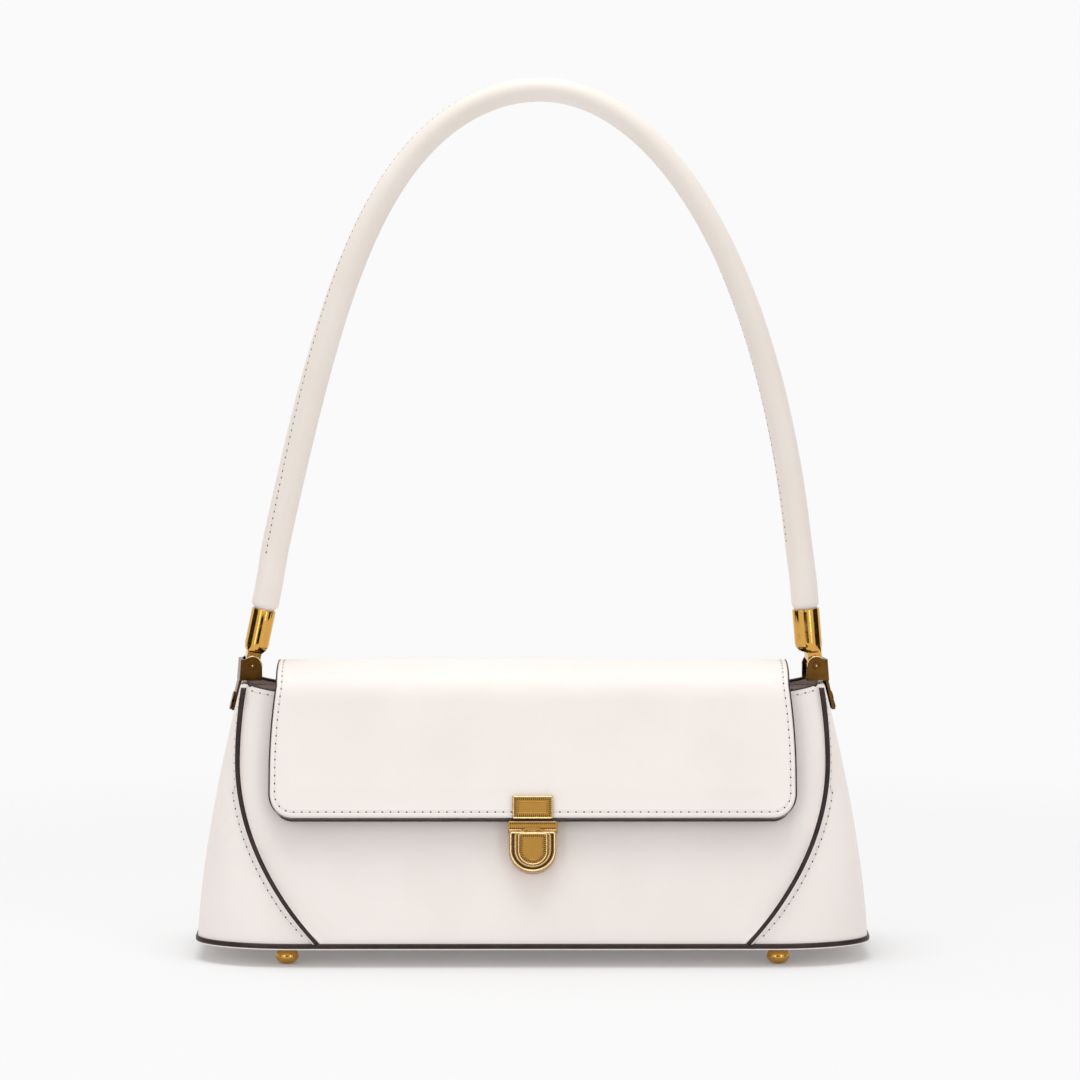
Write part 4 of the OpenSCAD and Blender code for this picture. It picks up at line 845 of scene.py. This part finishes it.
def build_flap():
    part, rims = flap_surface(0, 0.0, FLAP_LEATHER_T, puff=0.2)
    make("flap_face", part, "leather", HINGE_BEND, ["flap_leather", "flap_tail"], rims, sharp=55)
    part, rims = flap_surface(HINGE_ROW + 2, FLAP_LEATHER_T + 0.01, FLAP_T)
    make("flap_suede", part, "suede", "flap", ["flap_lining"], sharp=55)
    path, out, normal, on_flap = flap_edge_path(0.0)
    depth = FLAP_LEATHER_T + (FLAP_T - FLAP_LEATHER_T)*smooth((path[:, 1] < 19.0)*on_flap)
    rings = []
    for p, e, n, d in zip(path, unit(out), unit(normal), depth):
        lap = 0.55 + 0.35*abs(e[2])
        shape = [(-lap, 0.0), (-lap + 0.05, 0.05), (-0.42, 0.07), (-0.2, -0.02), (-0.06, -0.25), (0.0, -0.6),
            (0.0, 0.5 - d), (-0.06, 0.25 - d), (-0.25, -d - 0.02), (-0.9, -d - 0.05)]
        rings.append([p + e*a + n*b for a, b in shape])
    make("flap_edge_coat", tube(rings, closed=True), "edge_paint", HINGE_BEND, ["flap_edge"])
    path, out, normal, on_flap = flap_edge_path(2.5)
    stitches("flap", path, normal, HINGE_BEND, closed=True)


# Lock, on faces that stand in front of the panel and of the flap's foot by the distances that end in _D

FRAME_D, BUTTON_D, PLATE_D = 7.0, 7.3, 2.8


def leaning(lean, y, z):
    """Places on a leaning face through (y, z): across it, out of it and up it."""
    s, c = math.sin(lean), math.cos(lean)
    return lambda x, d, u: np.stack([x + 0*d, y - d*c + u*s, z + d*s + u*c], -1)


on_lock = leaning(math.radians(15.177), -35.5645, 47)
on_flap_foot = leaning(math.atan(0.297), FLAP_FOOT[0], FLAP_FOOT_H + FOOT_H)


def beads(name, spots, place, depth, size, body, finish):
    """Small raised or sunk dots at (across, up, turn)."""
    x, u, turn = np.asarray(spots, float).T
    depth = np.full(len(x), depth)
    o = place(x, depth, u)
    ex = place(x + np.cos(turn), depth, u + np.sin(turn)) - o
    ez = place(x, depth + 1.0, u) - o
    make(name, scatter(ball(size), o, unit(ex), unit(np.cross(ez, ex)), unit(ez)), finish, body)


def ridge(name, line, place, depth, width, height, body, finish, closed=True):
    """Raised wire along a line of (across, up) points."""
    if closed:
        d = unit(np.roll(line, -1, 0) - np.roll(line, 1, 0))
    else:
        d = unit(np.gradient(line, axis=0))
    side = np.stack([-d[:, 1], d[:, 0]], 1)
    turn = np.linspace(0, math.pi, 7)
    across = np.r_[np.cos(turn)*width/2, -width/2, width/2]
    out = depth + np.r_[np.sin(turn)*height, -0.1, -0.1]
    rings = []
    for p, s in zip(line, side):
        q = p + across[:, None]*s
        rings.append(place(q[:, 0], out, q[:, 1]))
    make(name, tube(rings, closed=closed), finish, body)


def d_line(half, top, foot):
    """Outline of a D: straight top and sides, half round foot."""
    corner_r, points = 0.6, []
    for middle, start in ((half - corner_r, 0), (corner_r - half, math.pi/2)):
        for a in np.linspace(start, start + math.pi/2, 6):
            points.append((middle + corner_r*math.cos(a), top - corner_r + corner_r*math.sin(a)))
    reach = half*0.96
    for a in np.linspace(math.pi, 2*math.pi, 40):
        points.append((half*math.cos(a), foot + reach + reach*math.sin(a)))
    points.append(points[0])
    return resample(points, step=0.35)[:-1]


def ticks(line):
    """Places of short strokes across a closed line."""
    spots = resample(np.vstack([line, line[:1]]), step=0.8)[:-1]
    d = unit(np.roll(spots, -1, 0) - np.roll(spots, 1, 0))
    return np.c_[spots, np.arctan2(d[:, 1], d[:, 0]) + math.pi/2]


def build_lock():
    """Ridges, grooves, dots and ticks on the lock's frame, on its button and on the flap's plate. The ridges
    are painted highlights in a lighter gold, and the dark strip in the gap round the button is painted shade.
    """
    tick = (0.55, 0.2, 0.12)
    top, foot = 5.467, -10.933
    for name, half, down, up, depth, width, height, finish in (
            # painted highlight: the ridges are laid in a lighter copy of gold
            ("outer_ridge", 8.75, 0.7, 0.55, FRAME_D + 0.28, 0.7, 0.28, "gold_painted_highlight"),
            ("inner_ridge", 6.9, 1.2, 2.35, FRAME_D - 0.02, 0.5, 0.3, "gold_painted_highlight"),
            ("groove", 7.75, 0.9, 1.5, FRAME_D, 0.7, 0.03, "patina_and_painted_shade"),
            # painted shade: a dark strip laid in the gap round the button
            ("gap", 6.27, 0.55, 2.9, FRAME_D - 0.04, 1.0, 0.03, "patina_and_painted_shade")):
        line = d_line(half, top - down, foot + up)
        ridge("lock_" + name, line, on_lock, depth, width, height, "bag", finish)
    x = np.arange(-8.8, 8.81, 0.8)
    for k, u in enumerate((6.55, 8.45)):
        spots = np.stack([x, 0*x + u, 0*x], 1)
        beads("lock_bar_dots_%d" % k, spots, on_lock, FRAME_D, (0.24, 0.36, 0.14), "bag", "patina_and_painted_shade")
    x = np.linspace(-9.5, 9.5, 40)
    for k, u in enumerate((5.85, 9.2)):
        line = np.stack([x, 0*x + u], 1)
        # painted highlight: the bar's ridges in a lighter copy of gold
        ridge("lock_bar_ridge_%d" % k, line, on_lock, FRAME_D, 0.45, 0.25, "bag", "gold_painted_highlight", closed=False)

    def button_line(inset):
        return d_line(6.0 - inset, 4.807 - inset, -8.193 + inset)

    # painted highlight: the button's rim in a lighter copy of gold
    ridge("button_ridge", button_line(0.45), on_lock, BUTTON_D, 0.5, 0.28, "button", "gold_painted_highlight")
    beads("button_ticks", ticks(button_line(1.3)), on_lock, BUTTON_D, tick, "button", "patina_and_painted_shade")
    ridge("button_field_line", button_line(2.1), on_lock, BUTTON_D, 0.3, 0.1, "button", "gold")

    plate_w, plate_h, plate_foot = 16.1, 9.2, -0.3

    def plate_line(inset):
        w, low, high = plate_w/2 - inset, plate_foot + inset, plate_h + plate_foot - inset
        return resample([(w, low), (w, high), (-w, high), (-w, low), (w, low)], step=0.4)[:-1]

    # painted highlight: the plate's rim in a lighter copy of gold
    ridge("plate_rim", plate_line(0.35), on_flap_foot, PLATE_D, 0.5, 0.3, "flap", "gold_painted_highlight")
    beads("plate_ticks", ticks(plate_line(1.3)), on_flap_foot, PLATE_D, tick, "flap", "patina_and_painted_shade")
    ridge("plate_field_line", plate_line(2.3), on_flap_foot, PLATE_D, 0.35, 0.16, "flap", "gold")


# Handle

LEFT_BEND = np.array([-107.159, 1.036, 144.751])
RIGHT_BEND = np.array([109.685, -0.636, 145.257])
HANDLE_TOP, SKEW = 347.4, 3.0
HANDLE_R, END_R, LIP_H = 4.75, 5.5, 1.7
UP, BACK = np.array([0, 0, 1.0]), np.array([0, 1.0, 0])
END_TURN = math.radians(9)
ENDS = ((-1, "left", LEFT_BEND, 12, 0.5, False), (1, "right", RIGHT_BEND, 5, 1.5, True))


def leg(bend, lean, crown):
    """Middle line of one leg of the arch, from its top down to the bend above the ferrule."""
    steps = 90
    share = (np.arange(steps) + 0.5)/steps
    turn = np.radians((90 - lean)*np.tanh(crown*share)/math.tanh(crown))
    path = np.vstack([[0, 0], np.cumsum(np.stack([np.cos(turn), np.sin(turn)], 1)/steps, axis=0)])
    across, down = (path/path[-1]).T
    x, z = SKEW + (bend[0] - SKEW)*across, HANDLE_TOP + (bend[2] - HANDLE_TOP)*down
    return np.stack([x, bend[1]*across, z], 1)


def handle_reach(section, share):
    """Radius round the section, whose lip at angle 0 stands out by share; the round ends are thicker."""
    rolled = HANDLE_R + LIP_H*np.maximum(0, np.cos(section))**6
    return rolled*share + END_R*(1 - share)


SECTION = np.radians(np.r_[-180:-60:10, np.linspace(-60, 60, 31), 70:180:10])


def handle_frames():
    """Points of the handle's middle line, with its direction, the outward one and the turn of its lip."""
    line = np.vstack([leg(LEFT_BEND, 13.0, 3.0)[::-1], leg(RIGHT_BEND, 8.5, 0.4)[1:]])
    d = unit(np.gradient(line, axis=0))
    out = unit(np.stack([-d[:, 2], 0*d[:, 0], d[:, 0]], 1))
    return line, d, out, np.radians(np.linspace(0, 180, len(line)) - 20)


def lip_share(line):
    """How far the lip stands out at each point: it grows out of the round ends."""
    along = distances(line)
    return smooth(np.minimum(along, along[-1] - along)/22)


def around(out, angle):
    """Direction at an angle round the section, from the outward one towards the back."""
    return np.cos(angle)[:, None]*out + np.sin(angle)[:, None]*BACK


def ring_at(spot, out, lip, share):
    return spot + handle_reach(SECTION, share)[:, None]*around(out, lip + SECTION)


def ferrule_axes(side, lean):
    """Directions up, out of and across a ferrule that leans in by some degrees."""
    ex = fork_axes(side)[0]
    lean = math.radians(lean)
    up = UP*math.cos(lean) - ex*math.sin(lean)
    ax = ex*math.cos(lean) + UP*math.sin(lean)
    return up, ax, np.cross(up, ax)


def build_handle():
    line, d, out, lip = handle_frames()
    full = lip_share(line)
    rings = [ring_at(*values) for values in zip(line, out, lip, full)]
    bend = ("handle_end_left", "handle", (0, 0, 144.7), (0, 0, 154.0))
    make("handle_skin", tube(rings), "leather_handle", bend, ["handle_leather"], sharp=55)
    foot_of_lip, lean = math.radians(31), math.radians(48)
    for name, face in (("handle_front", -1), ("handle_back", 1)):
        path = line + handle_reach(foot_of_lip, full)[:, None]*around(out, lip + face*foot_of_lip)
        normal = around(out, lip + face*lean)
        stitches(name, path[6:-6], normal[6:-6], bend, pitch=2.8, radius=0.24)
    for side, name, bend_at, lean, offset, along_x in ENDS:
        k = min(0, -side)
        up, ax, ay = ferrule_axes(side, lean)
        rel = ring_at(line[k], out[k], lip[k], 0.0) - line[k]
        a = np.arctan2(rel @ ay, rel @ ax)
        rx, ry = (4.5, 3.85) if along_x else (3.85, 4.5)
        oval = (rx*np.cos(a))[:, None]*ax + (ry*np.sin(a))[:, None]*ay
        rings = []
        for z in np.linspace(-11.0, 0.0, 16):
            share = smooth((z + 6.6)/2.2)
            rings.append(bend_at + up*z + oval*(1 - share) + rel*share)
        rings.append(bend_at + rel*0.985 + d[k]*side*-1.2)
        crossing = ("ferrule_" + name, "handle_end_" + name, bend_at - up*4.0, bend_at)
        make(name + "_sleeve", tube(rings), "leather_handle", crossing, [name + "_bend_leather"], sharp=55)


# Ferrules and brackets

PIN = np.array([113.7, 0, 116.0])


def fork_axes(side):
    """Directions out of and across a bracket, which is turned a little with the bag's end."""
    s, c = math.sin(END_TURN), math.cos(END_TURN)
    return np.array([side*c, side*s, 0.0]), np.array([s, -c, 0.0])


def build_ferrules():
    """Polished shells with rounded shoulders over the ferrules."""
    shoulder = [(1 - math.sqrt(1 - t*t), 9.6 - 4.2*t) for t in np.linspace(1, 0, 12)]
    profile = [(0, z, share) for share, z in shoulder]
    profile += [(0, 13.0, 0), (0, 18.0, 0), (0, 22.6, 0), (0.08, 22.9, 0), (0.25, 23.05, 0), (0.75, 23.05, 0),
        (0.93, 22.85, 0), (0.95, 22.2, 0), (0.5, 22.2, 0), (0.5, 10.0, 0), (0.5, 8.4, 0.3), (1.0, 5.6, 0.95)]
    for side, name, bend_at, lean, offset, along_x in ENDS:
        up, ax, ay = ferrule_axes(side, lean)
        pin = PIN*[side, 1, 1]
        rx, ry = (5.5, 4.85) if along_x else (4.85, 5.5)
        rings = []
        for a in np.linspace(0, 2*math.pi, 72, endpoint=False):
            c, s = math.cos(a), math.sin(a)
            neck = np.array([2.95*c, 3.75*s])/max(abs(c), abs(s))**0.75
            ring = []
            for inset, z, share in profile:
                full = np.array([(rx - inset)*c - offset, (ry - inset)*s])
                p = full*(1 - share) + neck*(1 - 0.1*inset)*share
                ring.append(pin + ax*p[0] + ay*p[1] + up*z)
            rings.append(ring)
        make(name + "_ferrule_shell", tube(rings, closed=True), "polished_gold", "ferrule_" + name, sharp=50)
        bracket_lights(name, pin, *fork_axes(side))


def bracket_lights(name, pin, ex, ey):
    """Painted highlights: lines of lighter gold along the edges of a bracket's round eyes, and lighter gold
    dots on the ends of its pin.
    """
    turn = np.radians(np.linspace(186, 48, 30))[:, None]
    section = np.linspace(0, 2*math.pi, 8, endpoint=False)
    lines, dots = [], []
    for face in (-1, 1):
        path = pin + 3.78*np.cos(turn)*ex + 3.78*np.sin(turn)*UP + 4.93*face*ey
        out = unit(np.cross(unit(np.gradient(path, axis=0)), ey))
        wire = [[p + 0.2*(math.cos(b)*o + math.sin(b)*ey) for b in section] for p, o in zip(path, out)]
        lines.append(tube(wire))
        spot = (pin + 5.22*face*ey)[None]
        dots.append(scatter(ball((0.42, 0.42, 0.16)), spot, ex[None], UP[None], ey[None]*face))
    # painted highlights: edge lines and pin dots in a lighter copy of gold
    make(name + "_bracket_edges", joined(lines), "gold_painted_highlight", "bag")
    make(name + "_pin_dots", joined(dots), "gold_painted_highlight", "bag")


# Zip

def build_zip():
    """Tape that closes the bag's top round the zip, and the two leaves that carry the coils."""
    top, low, gap = 105.8, 105.0, 13.55
    start, end, slot_end = -92.3, 96.3, 110.9
    x = np.unique(np.r_[np.linspace(-113.4, 113.4, 180), start, end])
    columns = []
    for a in x:
        reach = -front_y(98.4, a, 1.65) - 0.02
        g = min(gap, reach - 0.3)
        edge = np.linspace(g, reach, 4)
        columns.append(np.r_[-edge[::-1], np.linspace(-g, g, 9)[1:-1], edge])
    columns = np.array(columns)
    sag = 0.12*np.sin(x*0.09)[:, None]*np.ones(columns.shape[1])
    upper = np.stack([np.repeat(x[:, None], columns.shape[1], 1), columns, top + sag*0.5], -1)
    points, faces = thick(upper, upper - [0, 0, top - low])

    def open_at(face):
        """Whether a face lies over the zip's opening or the slot at its end."""
        x, y, z = points[face].mean(0)
        return start < x < end and abs(y) < gap - 0.02 or end < x < slot_end and abs(y) < 2.0

    faces = [f for f in faces if not open_at(f)]
    make("zip_frame_tape", (points, faces), "zip_tape", "bag", ["zip_frame"], sharp=60)
    for name, side in (("front", -1), ("back", 1)):
        gx, gy = np.meshgrid(np.linspace(-92, 96, 120), np.linspace(-13, -2.62, 9), indexing="ij")
        wave = 0.1*np.sin(gx*0.11 + side)*np.sin((gy + 13)/10.4*math.pi)
        rib = 0.12*np.exp(-((gy + 4.0)/0.5)**2)
        upper = np.stack([gx, gy*-side, top + wave + rib - 0.02], -1)
        leaf = thick(upper, upper - [0, 0, 0.76])
        make(name + "_zip_tape", leaf, "zip_tape", "zip_" + name, ["zip_%s_tape" % name], sharp=60)


# CAD nodes that stay

FINISH = {
    "antique_gold": ("left_bracket", "right_bracket", "bracket_rivets", "left_pin", "right_pin", "tongue",
        "zip_slider", "zip_pull"),
    "gold": ("lock_button", "lock_frame", "flap_plate", "flap_rivets"),
    "polished_gold": ("left_ferrule", "right_ferrule", "feet"),
    "steel": ("foot_washers", "foot_nuts", "lock_spring", "lock_backplate", "lock_studs", "bracket_backings"),
    "board": ("base_board",),
    "cord": ("handle_core", "left_bend_core", "right_bend_core"),
    "zip_coil": ("zip_fixed_coil", "zip_front_coil", "zip_back_coil"),
}


def finish_cad():
    for finish, nodes in FINISH.items():
        for node in nodes:
            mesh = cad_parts[node].data
            mesh.materials.clear()
            mesh.materials.append(MATERIALS[finish])


# Stage

def stage_plane(name, corners, build):
    mesh = bpy.data.meshes.new(name)
    mesh.from_pydata(corners, [], [(0, 1, 2, 3)])
    mesh.materials.append(material(name, build))
    plane = add_object(name, mesh)
    return plane


def floor_finish(n, shader):
    """Pale floor that fades out into the background some way from the bag."""
    n.shade(shader, Base_Color=(0.825, 0.831, 0.841, 1), Roughness=0.9, Specular_IOR_Level=0.1,
        Normal=n.bump(n.noise(40, 2), 0.0002, 0.02))
    spot = n.add("NewGeometry").outputs["Position"]
    reach = n.add("VectorMath", {0: spot}, operation="LENGTH").outputs["Value"]
    fade = n.spread(reach, 0.28, 0.62, 0.12, 1.0)
    clear = n.add("BsdfTransparent").outputs[0]
    mixed = n.add("MixShader", {0: fade, 1: shader.outputs[0], 2: clear}).outputs[0]
    n.set(n.tree.nodes["Material Output"].inputs[0], mixed)


def card_finish(n, shader):
    n.shade(shader, Base_Color=n.mix(n.noise(3, 2), rgb(30, 26, 24), rgb(50, 44, 40)), Roughness=0.9)


def build_world():
    """Soft light all round, with a plain pale background for the camera, in gloss and through glass."""
    world = bpy.data.worlds.new("studio")
    bpy.context.scene.world = world
    world.use_nodes = True
    n = Nodes(world.node_tree)
    path = n.add("LightPath").outputs
    seen = n.math("MAXIMUM", path["Is Glossy Ray"], path["Is Transmission Ray"])
    seen = n.math("MAXIMUM", path["Is Camera Ray"], seen)
    plain = n.add("Background", {"Color": (0.955, 0.955, 0.955, 1), "Strength": 1.0}).outputs[0]
    fill = n.add("Background", {"Color": (1.0, 0.985, 0.97, 1), "Strength": WORLD_LIGHT}).outputs[0]
    mixed = n.add("MixShader", {0: seen, 1: fill, 2: plain}).outputs[0]
    n.set(world.node_tree.nodes["World Output"].inputs[0], mixed)


def build_lamps():
    for name, place, aim, size, power, colour in LAMPS:
        lamp = bpy.data.lights.new(name, "AREA")
        lamp.shape = "RECTANGLE"
        lamp.size, lamp.size_y = size
        lamp.energy = power
        lamp.color = colour
        obj = add_object(name, lamp)
        obj.location = place
        obj.rotation_euler = (Vector(aim) - Vector(place)).to_track_quat("-Z", "Y").to_euler()


def build_camera():
    """Camera where the photo was taken from. Its focal length was fitted in pixels of the photo."""
    focal_pixels, photo_pixels, sensor = 4978, 1080, 36
    data = bpy.data.cameras.new("camera")
    data.lens = focal_pixels/photo_pixels*sensor
    data.sensor_width = sensor
    data.clip_start, data.clip_end = 0.1, 20
    camera = add_object("camera", data)
    camera.location = (-0.0012, -2.0, 0.345)
    pitch, yaw = 0.0890, 0.0021
    aim = Vector((math.sin(yaw)*math.cos(pitch), math.cos(yaw)*math.cos(pitch), -math.sin(pitch)))
    camera.rotation_euler = aim.to_track_quat("-Z", "Y").to_euler()
    bpy.context.scene.camera = camera
    bpy.context.scene.view_settings.view_transform = "Standard"


def build_stage():
    stage_plane("floor", [(-3, -3, 0), (3, -3, 0), (3, 3, 0), (-3, 3, 0)], floor_finish)
    build_world()
    build_lamps()
    for name, corners in CARDS.items():
        card = stage_plane(name, corners, card_finish)
        card.visible_camera = card.visible_diffuse = card.visible_shadow = False
    build_camera()


WORLD_LIGHT = 0.7
LAMPS = [
    ("key", (-0.1, -0.15, 2.2), (0, 0, 0.1), (1.6, 1.2), 24.0, (1.0, 0.995, 0.99)),
    ("strip_left", (-0.95, -1.7, 0.5), (0, 0, 0.2), (0.14, 1.2), 2.1, (1, 1, 1)),
    ("strip_right", (1.05, -1.7, 0.5), (0, 0, 0.2), (0.14, 1.2), 2.1, (1, 1, 1)),
]
CARDS = {
    "card_middle": [(-0.5, -1.95, -0.2), (0.42, -1.95, -0.2), (0.42, -1.95, 0.34), (-0.5, -1.95, 0.34)],
}
for side, x in (("left", -1.5), ("right", 1.5)):
    CARDS["card_" + side] = [(x, -0.9, -0.2), (x, 0.5, -0.2), (x, 0.5, 0.9), (x, -0.9, 0.9)]

build_body()
build_seams()
build_rims()
build_base()
build_lining()
build_flap()
build_lock()
build_handle()
build_ferrules()
build_zip()
finish_cad()
build_stage()
